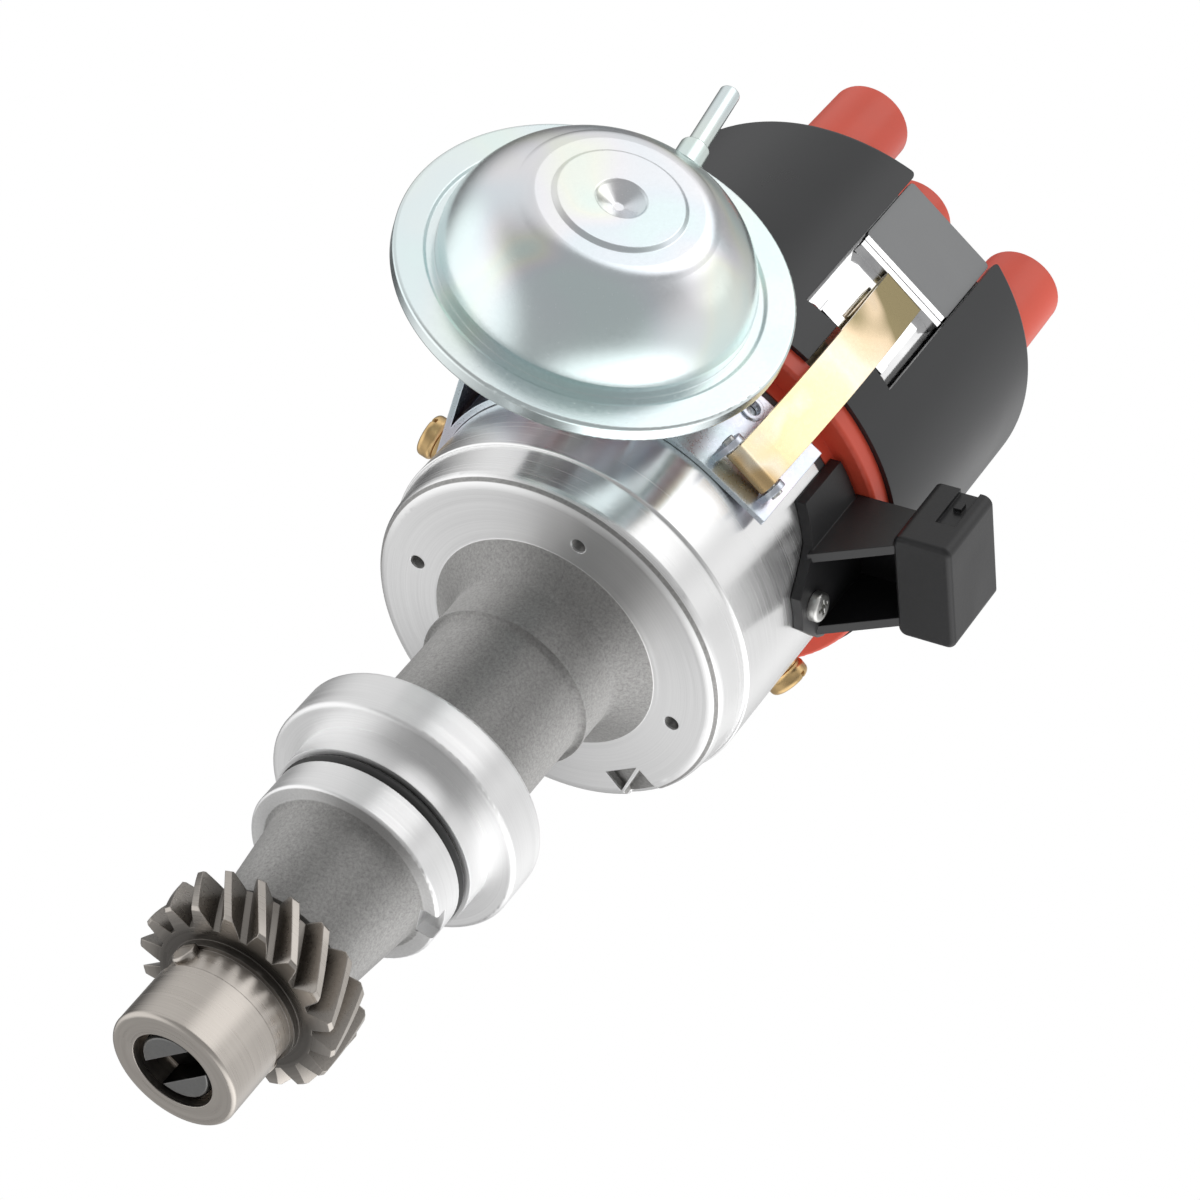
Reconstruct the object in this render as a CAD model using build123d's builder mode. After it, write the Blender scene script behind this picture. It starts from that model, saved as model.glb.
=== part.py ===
from build123d import *
import os
from math import cos, degrees, radians, sin, sqrt, tan

# Ignition distributor with Hall trigger, centrifugal and vacuum advance. Millimetres.
# +Z runs up the shaft to the cap, and the origin is the centre of the collar's lower face,
# which rests on the engine block. The vacuum can faces -Y.

os.makedirs("parts", exist_ok=True)

# Fits
fit = 0.05
gap = 0.3
cut_over = 3.0

# Housing casting: stem, pilot, collar, neck and bowl
stem_low = -36.0
stem_low_radius = 13.2
stem_flare_radius = 15.5
pilot_radius = 19.2
pilot_low = -15.5
groove_low = -8.5
groove_height = 2.5
groove_depth = 2.3
ring_section = 1.2
boss_radius = 20.0
collar_radius = 25.1
collar_height = 9.5
neck_radius = 15.9
neck_ring_radius = 17.3
neck_ring_height = 38.0
neck_ring_width = 1.2
upper_neck_radius = 17.1
dish_radius = 23.2
dish_start = 47.6
face_height = 52.0
rim_step = 0.6
rim_taper = 1.1
rim_height = 8.9
rim_fillet = 2.6
bowl_radius = 38.0
bowl_headroom = 4.0
bowl_wall = 3.5
floor_thickness = 5.0
ledge_width = 1.5
vent_set_in = 8.3
vent_radius = 1.5
vent_count = 4
collar_edge = 0.9
machined_edge = 0.6
step_edge = 0.3
neck_blend = 1.2
ring_blend = 0.8
dish_blend = 2.0
relief_radius = 9.5
mark_triangle = ((-6.3, 48.5), (-6.3, 33.4), (-1.7, 46.0))
mark_depth = 1.6
notch_outline = ((-5.7, 33.0), (2.2, 31.4), (2.2, 46.6), (-1.3, 45.6))
notch_depth = 2.4
oil_slot_azimuth = -4.0
oil_slot_width = 6.0
oil_slot_depth = 2.6

# Shaft, bushes and helical gear
shaft_radius = 6.75
shaft_end = -66.2
shim_thickness = 3.2
spindle_radius = 5.0
spindle_rise = 2.0
shaft_edge = 0.5
slot_width = 5.1
slot_depth = 5.0
slot_azimuth = -54.8
bush_wall = 2.05
lower_bush_top = -12.0
upper_bush_low = 34.0
seal_height = 4.5
seal_skin = 1.0
seal_web = 1.2
seal_lip = 2.4
bush_edge = 0.4
washer_radius = 11.4
teeth = 18
gear_low = -48.5
gear_top = -38.2
gear_tip_radius = 19.6
gear_pitch_radius = 17.7
gear_root_radius = 15.3
tooth_root_half = 2.0
tooth_pitch_half = 1.4
tooth_tip_half = 0.75
helix_angle = 32.0
gear_phase = -85.4
gear_bevel = 0.7
root_depth = 1.0
tooth_over = 0.2
shoulder_over = 0.5
nose_low = -66.9
nose_radius = 12.3
shoulder_radius = 12.75
shoulder_height = 1.5
nose_bore_radius = 7.9
nose_bore_depth = 6.0
pin_radius = 2.4
pin_height = -51.6
pin_azimuth = -141.0
pin_proud = 0.7
pin_edge = 0.5
nose_edge = 0.8
relief_groove_low = -54.6
relief_groove_depth = 0.4

# Centrifugal advance
plate_clearance = 4.0
plate_thickness = 2.0
pivot_set_in = 10.0
pivot_radius = 2.0
plate_notch_radius = 7.0
weight_thickness = 5.0
weight_inner = 9.6
weight_set_in = 5.0
weight_head = 12.0
weight_tail = 148.0
weight_boss = 4.4
weight_neck = 3.6
yoke_thickness = 1.8
yoke_set_in = 13.0
yoke_notch_radius = 5.0
yoke_notch_azimuth = 15.0
sleeve_radius = 8.0
sleeve_rise = 1.0
spring_radius = 1.6
spring_post_radius = 1.0
spring_post_set_in = 2.7
yoke_post_set_in = 3.0
spring_post_azimuth = -10.0
yoke_post_azimuth = 55.0
spring_lift = 0.4
advance_headroom = 1.5
spring_end = 3.0
eye_wire = 0.5
eye_play = 0.15

# Vacuum advance plate, Hall sensor and trigger wheel
bearing_plate_thickness = 1.5
bearing_bore = 12.5
bearing_radius = 14.0
bearing_height = 3.6
bearing_hole_circle = 22.0
bearing_hole_radius = 3.5
bearing_hole_azimuth = 60.0
hall_plate_set_in = 1.8
hall_plate_thickness = 1.5
hall_slot_circle = 23.0
hall_slot_span = 9.0
hall_slot_width = 5.0
hall_slot_azimuth = 75.0
sensor_azimuth = -22.0
vane_set_in = 5.8
vane_thickness = 1.2
vane_clearance = 1.4
vane_height = 8.0
vane_count = 4
vane_window = 42.0
hub_wall = 2.8
hub_drop = 2.0
wheel_disc = 1.2
sensor_reach = 7.2
sensor_overhang = 1.0
sensor_width = 16.0
sensor_clearance = 0.7
sensor_corner = 1.0
sensor_floor_gap = 1.0
sensor_top_gap = 0.8

# Screws through the bowl wall: one through the bracket, one through the bearing plate's tall ear
bracket_screw_azimuth = 180.0
bracket_screw_rise = 5.0
plate_screw_azimuth = 28.5
plate_screw_rise = 18.0
screw_radius = 2.0
screw_clearance = 0.15
screw_head_radius = 4.3
screw_head_height = 3.4
screw_slot = 1.0
screw_slot_depth = 1.2
screw_crown = 1.1
screw_tail = 0.5
lock_washer_radius = 3.9
lock_washer_thickness = 1.1
lock_washer_split = 0.9
lock_washer_slant = 20.0
ear_set_in = 2.7
ear_thickness = 2.2
ear_half_width = 4.4
ear_margin = 3.6

# Vacuum can
can_x = -22.9
can_depth = 10.0
can_rim_radius = 37.0
can_sheet = 0.8
dome_radius = 29.3
dome_foot = 2.2
dome_bulge_radius = 24.9
dome_bulge_depth = 11.6
dome_shoulder_radius = 18.6
dome_shoulder_depth = 2.0
dome_turn_radius = 17.2
dome_turn_depth = 1.1
dome_shelf_radius = 15.4
dome_shelf_depth = 0.7
dome_step_radius = 12.4
dome_face_radius = 11.6
dimple_rim_radius = 4.8
dimple_wall_radius = 4.4
dimple_wall_depth = 0.4
dimple_floor_radius = 1.0
dimple_depth = 2.2
dome_depth = 18.9
can_stand = 10.9
can_back_radius = 25.0
can_cup_radius = 29.8
rim_step_start = 1.6
rim_step_end = 2.2
rim_step_depth = 0.5
crimp_width = 3.0
crimp_edge = 0.6
diaphragm_thickness = 0.8
diaphragm_plate_radius = 15.0
wave_set_in = 3.3
wave_width = 5.0
wave_height = 2.5
rod_width = 5.0
rod_thickness = 1.6
rod_rise = 3.2
rod_pin_radius = 1.5
rod_pin_lead = 2.0
rod_pin_shoulder = 1.5
rod_eye_radius = 3.3
rod_eye_clearance = 0.12
guide_radius = 5.0
rod_window_near = 18.5
vacuum_spring_radius = 8.0
vacuum_spring_wire = 0.7
vacuum_spring_turns = 4.5
nipple_radius = 2.0
nipple_bore = 1.2
nipple_lead = 12.1
nipple_side = 2.7
nipple_tilt = 8.0
nipple_rise = 17.7
nipple_length = 26.6
nipple_collar_radius = 2.9
nipple_collar_length = 9.4

# Bracket that carries the can and the front clip
bracket_sheet = 1.2
bracket_clearance = 0.15
bracket_height = 22.0
bracket_set_down = 0.4
bracket_tail = 5.2
bracket_flat_azimuth = -72.0
bracket_flat_length = 12.8
bracket_wall_x = -4.0
bracket_bend = 4.0
eyelet_drop = 4.1
eyelet_side = -2.2
eyelet_radius = 1.6
eyelet_rim_radius = 2.4
eyelet_rim_height = 0.4
tab_side = -4.6
tab_width = 3.2
tab_height = 3.0

# Spring clips
clip_azimuths = (-66.0, 114.0)
clip_width = 9.3
clip_sheet = 0.9
clip_pivot_stand = 4.6
clip_pivot_rise = 4.8
clip_pin_radius = 1.2
clip_pin_head = 0.7
clip_ear_gap = 0.35
clip_ear_thickness = 1.2
clip_ear_radius = 2.4
clip_ear_foot = 0.5
clip_fold_stand = 7.0
clip_fold_rise = 4.8
clip_belly_stand = 8.6
clip_belly_rise = 22.8
clip_crease_stand = 1.8
clip_crease_rise = 8.1
clip_top_stand = 1.0
clip_tip_rise = 6.6
clip_leaf_set_in = 0.4
clip_nose_set_in = 0.95
clip_crown = 0.7

# Rear clip bracket and its rivets
rear_bracket_half = 8.5
rear_bracket_height = 16.4
rear_bracket_corner = 2.5
rivet_radius = 1.5
rivet_head_radius = 2.6
rivet_head_height = 1.1
rivet_tail = 0.6
rivet_side = 5.0
rivet_drop = 3.5

# Dust cover and cap
dust_thickness = 1.0
dust_rim = 2.3
dust_set_in = 0.1
dust_lap = 1.5
dust_bore = 12.2
dust_collar = 1.2
skirt_height = 2.8
flange_height = 4.4
flange_overhang = 5.0
flange_edge = 0.8
cap_overhang = 2.6
cap_height = 50.2
cap_wall = 4.2
cap_roof = 10.0
cap_top_fillet = 3.0
window_azimuths = (-67.5, 112.5)
window_half = 11.5
flat_set_in = 1.0
tower_set_in = 8.9
tower_radius = 8.53
tower_height = 28.3
centre_tower_radius = 8.5
centre_tower_height = 43.8
tower_draft = 0.5
tower_fillet = 0.8
tower_root = 4.0
terminal_bore = 4.4
terminal_depth = 24.0
electrode_radius = 2.7
electrode_drop = 1.5
electrode_boss_radius = 5.0
electrode_bare = 6.0
brush_radius = 2.3
brush_boss_radius = 6.0
brush_bare = 6.5
brush_length = 13.0
brush_hole_rise = 2.0
brush_spring_wire = 0.3
brush_spring_turns = 7
brush_spring_play = 0.1
spring_contact = 0.02
brush_edge = 0.8

# Screen and black shield round the cap
screen_sheet = 0.7
screen_stand = 1.0
screen_flat_stand = 1.15
screen_foot_gap = 0.4
screen_proud = 1.0
panel_gap = 0.4
panel_proud = 3.5
panel_thickness = 1.0
panel_half = 11.1
panel_corner = 1.0
lip_rise = 2.4
lip_sheet = 1.5
lip_groove = 0.6
lip_stand = 2.15
upper_lip_set_in = 0.4
lip_half = 10.7
ledge_root = 0.3
panel_seat = 0.15
shield_stand = 3.4
shield_wall = 1.6
shield_rise = 7.0
shield_fillet = 1.2
shield_corner = 2.5
shield_lip_width = 2.8
shield_lip_thickness = 1.6
sill_rise = 11.5
slot_clearance = 0.6
slot_over = 2.0
hook_stand = 2.65
hook_depth = 2.8
hook_half = 8.2
relief_hole_side = 9.3
relief_hole_radius = 1.9
relief_hole_rise = 0.7

# Rotor arm
rotor_hub_gap = 0.4
rotor_hub_radius = 11.0
rotor_arm_rise = 6.0
rotor_arm_depth = 8.0
rotor_air_gap = 0.8
rotor_arm_set_in = 4.7
rotor_tail_end = -15.0
rotor_width = 13.0
rotor_belly = 4.0
rotor_corner = 1.5
rotor_play = 0.4
rotor_seat_play = 0.3
contact_thickness = 1.5
contact_width = 8.0
contact_tip = 4.4
contact_tail = 4.0
contact_drop = 3.0
resistor_start = 6.0
resistor_end = 18.0
resistor_width = 3.6
resistor_depth = 2.4
rotor_azimuth = -112.5
felt_depth = 5.0
felt_radius = 3.0
circlip_thickness = 0.8
circlip_width = 1.8
circlip_gap = 2.4

# Connector
connector_azimuth = -22.0
connector_width = 23.5
connector_stand = 13.6
connector_depth = 11.8
connector_drop = 6.0
connector_height = 17.6
connector_wall = 1.5
connector_floor = 2.0
connector_corner = 1.8
connector_edge = 1.0
latch_set_in = 5.4
latch_width = 4.0
latch_height = 10.6
latch_depth = 0.9
latch_tab_height = 2.0
latch_tab_rise = 4.6
latch_tab_width = 1.6
arm_thickness = 2.0
arm_spread = 8.6
arm_set_in = 0.4
arm_rise = 0.2
arm_root_drop = 14.5
arm_clearance = 0.4
arm_root_depth = 1.6
web_thickness = 1.8
pad_thickness = 2.0
pad_outline = (
    (-17.1, -9.6),
    (-17.1, 4.2),
    (14.0, 4.2),
    (14.0, -9.4),
    (11.4, -13.0),
    (3.6, -20.4),
    (-3.6, -20.4),
    (-10.1, -12.4),
)
connector_screw_azimuth = -21.0
connector_screw_drop = 16.0
connector_screw_radius = 1.5
connector_screw_head = 2.9
connector_screw_head_height = 1.9
connector_screw_crown = 0.6
cross_length = 3.2
cross_width = 0.8
cross_depth = 1.0
cable_slot_width = 10.0
cable_slot_height = 5.0
cable_slot_drop = 5.8
blade_thickness = 0.8
blade_width = 2.4
blade_pitch = 6.0
blade_set_in = 4.6


def upright(azimuth):
    """Plane through the shaft's axis: local x runs outward at this azimuth, local y runs up."""
    a = radians(azimuth)
    return Plane(origin=(0, 0, 0), x_dir=(cos(a), sin(a), 0), z_dir=(sin(a), -cos(a), 0))


def facing(azimuth, distance):
    """Plane square to the outward direction at this azimuth: local x runs sideways, local y up."""
    a = radians(azimuth)
    return Plane(
        origin=(distance * cos(a), distance * sin(a), 0),
        x_dir=(-sin(a), cos(a), 0),
        z_dir=(cos(a), sin(a), 0),
    )


def polar(radius, azimuth):
    """A point in plan at this radius and azimuth."""
    return (radius * cos(radians(azimuth)), radius * sin(radians(azimuth)))


def corners(shape, *places):
    """The vertices of a profile that lie at these places."""
    found = []
    for vertex in shape.vertices():
        for x, y in places:
            if abs(vertex.X - x) < 0.01 and abs(vertex.Y - y) < 0.01:
                found.append(vertex)
    return found


# Radii inside and round the bowl
bush_seat = shaft_radius + fit + bush_wall
bowl_inside = bowl_radius - bowl_wall
ledge_inside = bowl_inside - ledge_width
rim_top_radius = bowl_radius - rim_step
rim_radius = rim_top_radius - rim_taper
vent_circle = rim_radius - vent_set_in
groove_top = groove_low + groove_height
groove_floor = pilot_radius - groove_depth
plate_radius = ledge_inside - plate_clearance
pivot_circle = plate_radius - pivot_set_in
weight_outer = plate_radius - weight_set_in
yoke_radius = plate_radius - yoke_set_in
yoke_post_circle = yoke_radius - yoke_post_set_in
spring_post_circle = plate_radius - spring_post_set_in
ear_distance = bowl_inside - ear_set_in
hall_plate_radius = ear_distance - hall_plate_set_in
vane_radius = hall_plate_radius - vane_set_in
sensor_inner = vane_radius - sensor_reach
sensor_outer = hall_plate_radius + sensor_overhang
pad_inner = bowl_radius + bracket_clearance
pad_outer = pad_inner + pad_thickness
connector_near = bowl_radius + connector_stand
connector_far = connector_near + connector_depth
can_back = -bowl_radius - can_stand
can_front = can_back - can_depth
dome_front = can_front - dome_depth

# Heights of what stands on the bowl's floor, from the shim up to the trigger wheel
floor_top = face_height + floor_thickness
rim_top = face_height + rim_height
shaft_shoulder = floor_top + gap + shim_thickness
carrier_top = shaft_shoulder + plate_thickness
weight_low = carrier_top + gap
weight_top = weight_low + weight_thickness
yoke_low = weight_top + gap
yoke_top = yoke_low + yoke_thickness
spring_height = yoke_top + spring_lift + spring_radius
post_top = spring_height + spring_radius
ledge_height = post_top + advance_headroom
bearing_plate_top = ledge_height + bearing_plate_thickness
hall_low = bearing_plate_top + gap
hall_top = hall_low + hall_plate_thickness
rod_low = hall_top + rod_rise
rod_top = rod_low + rod_thickness
rod_pin_top = rod_top + rod_pin_shoulder
can_z = rod_low + rod_thickness / 2
vane_low = rod_pin_top + vane_clearance
vane_top = vane_low + vane_height
hub_low = vane_low - hub_drop
sensor_base_top = vane_low - sensor_floor_gap
sensor_top = vane_top - sensor_top_gap
bowl_top = vane_top + bowl_headroom
sleeve_top = bowl_top + sleeve_rise
spindle_top = sleeve_top + spindle_rise
rotor_low = vane_top + wheel_disc + circlip_thickness + rotor_hub_gap
rotor_arm_low = bowl_top + rotor_arm_rise
rotor_top = rotor_arm_low + rotor_arm_depth
contact_top = rotor_top + contact_thickness

# Cap, screen and shield
dust_radius = bowl_radius - dust_set_in
dust_inner = bowl_inside - dust_lap
cap_low = bowl_top + dust_rim + gap
flange_low = cap_low + skirt_height
flange_top = flange_low + flange_height
flange_radius = bowl_radius + flange_overhang
cap_radius = bowl_radius + cap_overhang
cap_inside_radius = cap_radius - cap_wall
cap_top = flange_top + cap_height
cap_inside_top = cap_top - cap_roof
flat_distance = cap_radius - flat_set_in
tower_circle = cap_radius - tower_set_in
tower_top = cap_top + tower_height
centre_tower_top = cap_top + centre_tower_height
electrode_low = rotor_top - electrode_drop
electrode_boss_low = electrode_low + electrode_bare
brush_boss_low = contact_top + brush_bare
brush_hole_top = cap_inside_top + brush_hole_rise
rotor_tip = tower_circle - electrode_radius - rotor_air_gap
rotor_arm_end = rotor_tip - rotor_arm_set_in
screen_radius = cap_radius + screen_stand
screen_flat = flat_distance + screen_flat_stand
screen_low = flange_top + screen_foot_gap
screen_top = cap_top + screen_proud
sill_height = flange_top + sill_rise
hook_low = sill_height + gap
hook_edge = hook_low + hook_depth
hook_out = screen_flat + hook_stand
lip_out = screen_flat + lip_stand
shield_radius = cap_radius + shield_stand
shield_lip_radius = shield_radius - shield_lip_width
shield_top = cap_top + shield_rise

# Brackets, clips, screws and connector
front_azimuth, rear_azimuth = clip_azimuths
bracket_top = bowl_top - bracket_set_down
bracket_low = bracket_top - bracket_height
rear_bracket_top = bracket_low + rear_bracket_height
rivet_height = rear_bracket_top - rivet_drop
bracket_screw_height = ledge_height + bracket_screw_rise
plate_screw_height = ledge_height + plate_screw_rise
clip_pivot_out = bowl_radius + clip_pivot_stand
clip_pivot_height = bracket_low + clip_pivot_rise
clip_ear_inner = bowl_radius + clip_ear_foot
clip_fold_out = bowl_radius + clip_fold_stand
clip_fold_height = clip_pivot_height + clip_fold_rise
clip_belly_out = bowl_radius + clip_belly_stand
clip_belly_height = clip_fold_height + clip_belly_rise
clip_crease_out = hook_out + clip_crease_stand
clip_crease_height = hook_edge + clip_crease_rise
clip_top_out = hook_out + clip_top_stand
clip_top_height = clip_crease_height + clip_tip_rise
clip_leaf_top_out = hook_out - clip_leaf_set_in
clip_nose_out = hook_out - clip_nose_set_in
lip_low = clip_top_height + lip_rise
lip_top = lip_low + 2 * lip_sheet + lip_groove
panel_low = lip_top + panel_gap
panel_top = screen_top + panel_proud
connector_low = bowl_top - connector_drop
connector_high = connector_low + connector_height
connector_screw_height = bowl_top - connector_screw_drop
cable_slot_middle = bowl_top - cable_slot_drop
arm_root_low = bowl_top - arm_root_drop
arm_top = flange_low - arm_clearance
blade_top = connector_high - blade_set_in

# Housing: one aluminium casting, turned where it seats
with BuildPart() as housing:
    with BuildSketch(Plane.XZ) as section:
        with BuildLine():
            Polyline(
                (bush_seat, stem_low),
                (stem_low_radius, stem_low),
                (stem_flare_radius, pilot_low),
                (pilot_radius, pilot_low),
                (pilot_radius, groove_low),
                (groove_floor, groove_low),
                (groove_floor, groove_top),
                (boss_radius, groove_top),
                (boss_radius, 0),
                (collar_radius, 0),
                (collar_radius, collar_height),
                (neck_radius, collar_height),
                (neck_radius, neck_ring_height),
                (neck_ring_radius, neck_ring_height),
                (neck_ring_radius, neck_ring_height + neck_ring_width),
                (upper_neck_radius, neck_ring_height + neck_ring_width),
                (upper_neck_radius, dish_start),
                (dish_radius, face_height),
                (rim_radius, face_height),
                (rim_top_radius, rim_top),
                (bowl_radius, rim_top),
                (bowl_radius, bowl_top),
                (bowl_inside, bowl_top),
                (bowl_inside, ledge_height),
                (ledge_inside, ledge_height),
                (ledge_inside, floor_top),
                (bush_seat, floor_top),
                (bush_seat, upper_bush_low),
                (relief_radius, upper_bush_low),
                (relief_radius, lower_bush_top),
                (bush_seat, lower_bush_top),
                close=True,
            )
        make_face()
        fillet(corners(section, (rim_radius, face_height)), rim_fillet)
        fillet(corners(section, (collar_radius, 0), (collar_radius, collar_height)), collar_edge)
        fillet(corners(section, (pilot_radius, pilot_low)), machined_edge)
        fillet(corners(section, (bowl_radius, rim_top)), step_edge)
        fillet(corners(section, (neck_radius, collar_height), (stem_flare_radius, pilot_low)), neck_blend)
        fillet(corners(section, (neck_radius, neck_ring_height)), ring_blend)
        fillet(corners(section, (upper_neck_radius, dish_start)), dish_blend)
    revolve(axis=Axis.Z)
    # four vent holes through the bowl's floor
    with BuildSketch(Plane.XY.offset(face_height)):
        with PolarLocations(vent_circle, vent_count):
            Circle(vent_radius)
    extrude(amount=floor_thickness, mode=Mode.SUBTRACT)
    # timing mark: a sunk triangle, and beside it a notch in the rim
    with BuildSketch(Plane.XY.offset(face_height)):
        Polygon(*[polar(rim_radius + out, azimuth) for out, azimuth in mark_triangle], align=None)
    extrude(amount=mark_depth, mode=Mode.SUBTRACT)
    with BuildSketch(Plane.XY.offset(face_height)):
        Polygon(*[polar(rim_radius + out, azimuth) for out, azimuth in notch_outline], align=None)
    extrude(amount=notch_depth, mode=Mode.SUBTRACT)
    # oil return slot across the pilot land
    with BuildSketch(facing(oil_slot_azimuth, pilot_radius + 1)):
        with Locations((0, pilot_low)):
            Rectangle(oil_slot_width, 2 * oil_slot_depth)
    extrude(amount=-(1 + pilot_radius - stem_flare_radius), mode=Mode.SUBTRACT)
    # screw and rivet holes through the bowl wall
    for azimuth, side, height, radius in (
        (bracket_screw_azimuth, 0, bracket_screw_height, screw_radius + screw_clearance),
        (plate_screw_azimuth, 0, plate_screw_height, screw_radius + screw_clearance),
        (connector_screw_azimuth, 0, connector_screw_height, connector_screw_radius),
        (rear_azimuth, rivet_side, rivet_height, rivet_radius),
        (rear_azimuth, -rivet_side, rivet_height, rivet_radius),
    ):
        with BuildSketch(facing(azimuth, bowl_inside - cut_over)):
            with Locations((side, height)):
                Circle(radius)
        extrude(amount=bowl_wall + 2 * cut_over, mode=Mode.SUBTRACT)
    # window for the pull rod
    with BuildSketch(Plane.XZ.offset(rod_window_near)):
        with Locations((can_x, can_z)):
            Rectangle(2 * guide_radius + 1, 2 * guide_radius + 1)
    extrude(amount=bowl_radius - rod_window_near + 2, mode=Mode.SUBTRACT)
    # cable slot behind the connector's foot
    with BuildSketch(facing(connector_azimuth, bowl_inside - 2)):
        with Locations((0, cable_slot_middle)):
            Rectangle(cable_slot_width, cable_slot_height)
    extrude(amount=bowl_wall + 4, mode=Mode.SUBTRACT)
housing.part.label = "housing"
export_step(housing.part, "parts/housing.step")

# O-ring in the pilot's groove
with BuildPart() as o_ring:
    with BuildSketch(Plane.XZ):
        with Locations((groove_floor + ring_section + 0.02, groove_low + groove_height / 2)):
            Circle(ring_section)
    revolve(axis=Axis.Z)
o_ring.part.label = "o_ring"
export_step(o_ring.part, "parts/o_ring.step")

# Sintered bushes and lip seal
with BuildPart() as lower_bush:
    with BuildSketch(Plane.XY.offset(stem_low)):
        Circle(bush_seat)
        Circle(shaft_radius + fit, mode=Mode.SUBTRACT)
    extrude(amount=lower_bush_top - stem_low)
    chamfer(lower_bush.edges().filter_by(GeomType.CIRCLE).group_by(SortBy.RADIUS)[0], bush_edge)
lower_bush.part.label = "lower_bush"
export_step(lower_bush.part, "parts/lower_bush.step")

with BuildPart() as upper_bush:
    with BuildSketch(Plane.XY.offset(upper_bush_low)):
        Circle(bush_seat)
        Circle(shaft_radius + fit, mode=Mode.SUBTRACT)
    extrude(amount=floor_top - upper_bush_low)
    chamfer(upper_bush.edges().filter_by(GeomType.CIRCLE).group_by(SortBy.RADIUS)[0], bush_edge)
upper_bush.part.label = "upper_bush"
export_step(upper_bush.part, "parts/upper_bush.step")

with BuildPart() as shaft_seal:
    with BuildSketch(Plane.XZ):
        with BuildLine():
            Polyline(
                (relief_radius, lower_bush_top),
                (relief_radius, lower_bush_top + seal_height),
                (relief_radius - seal_skin, lower_bush_top + seal_height),
                (relief_radius - seal_skin, lower_bush_top + seal_web),
                (shaft_radius + seal_web / 2, lower_bush_top + seal_lip + seal_web / 2),
                (shaft_radius + fit, lower_bush_top + seal_lip),
                (shaft_radius + fit, lower_bush_top),
                close=True,
            )
        make_face()
    revolve(axis=Axis.Z)
shaft_seal.part.label = "shaft_seal"
export_step(shaft_seal.part, "parts/shaft_seal.step")

# Drive shaft: one steel bar with a slot for the oil pump's blade and a spindle for the cam sleeve
with BuildPart() as drive_shaft:
    with BuildSketch(Plane.XZ) as section:
        with BuildLine():
            Polyline(
                (0, shaft_end),
                (shaft_radius, shaft_end),
                (shaft_radius, shaft_shoulder),
                (spindle_radius, shaft_shoulder),
                (spindle_radius, spindle_top),
                (0, spindle_top),
                close=True,
            )
        make_face()
        chamfer(corners(section, (shaft_radius, shaft_end), (spindle_radius, spindle_top)), shaft_edge)
    revolve(axis=Axis.Z)
    with BuildSketch(upright(slot_azimuth)):
        with Locations((0, shaft_end)):
            Rectangle(2 * shaft_radius + 2, 2 * slot_depth)
    extrude(amount=slot_width / 2, both=True, mode=Mode.SUBTRACT)
    with BuildSketch(facing(pin_azimuth, 0)):
        with Locations((0, pin_height)):
            Circle(pin_radius)
    extrude(amount=shaft_radius + 1, both=True, mode=Mode.SUBTRACT)
    with BuildSketch(Plane.XY.offset(spindle_top)):
        Circle(felt_radius)
    extrude(amount=-felt_depth, mode=Mode.SUBTRACT)
drive_shaft.part.label = "drive_shaft"
export_step(drive_shaft.part, "parts/drive_shaft.step")

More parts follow.
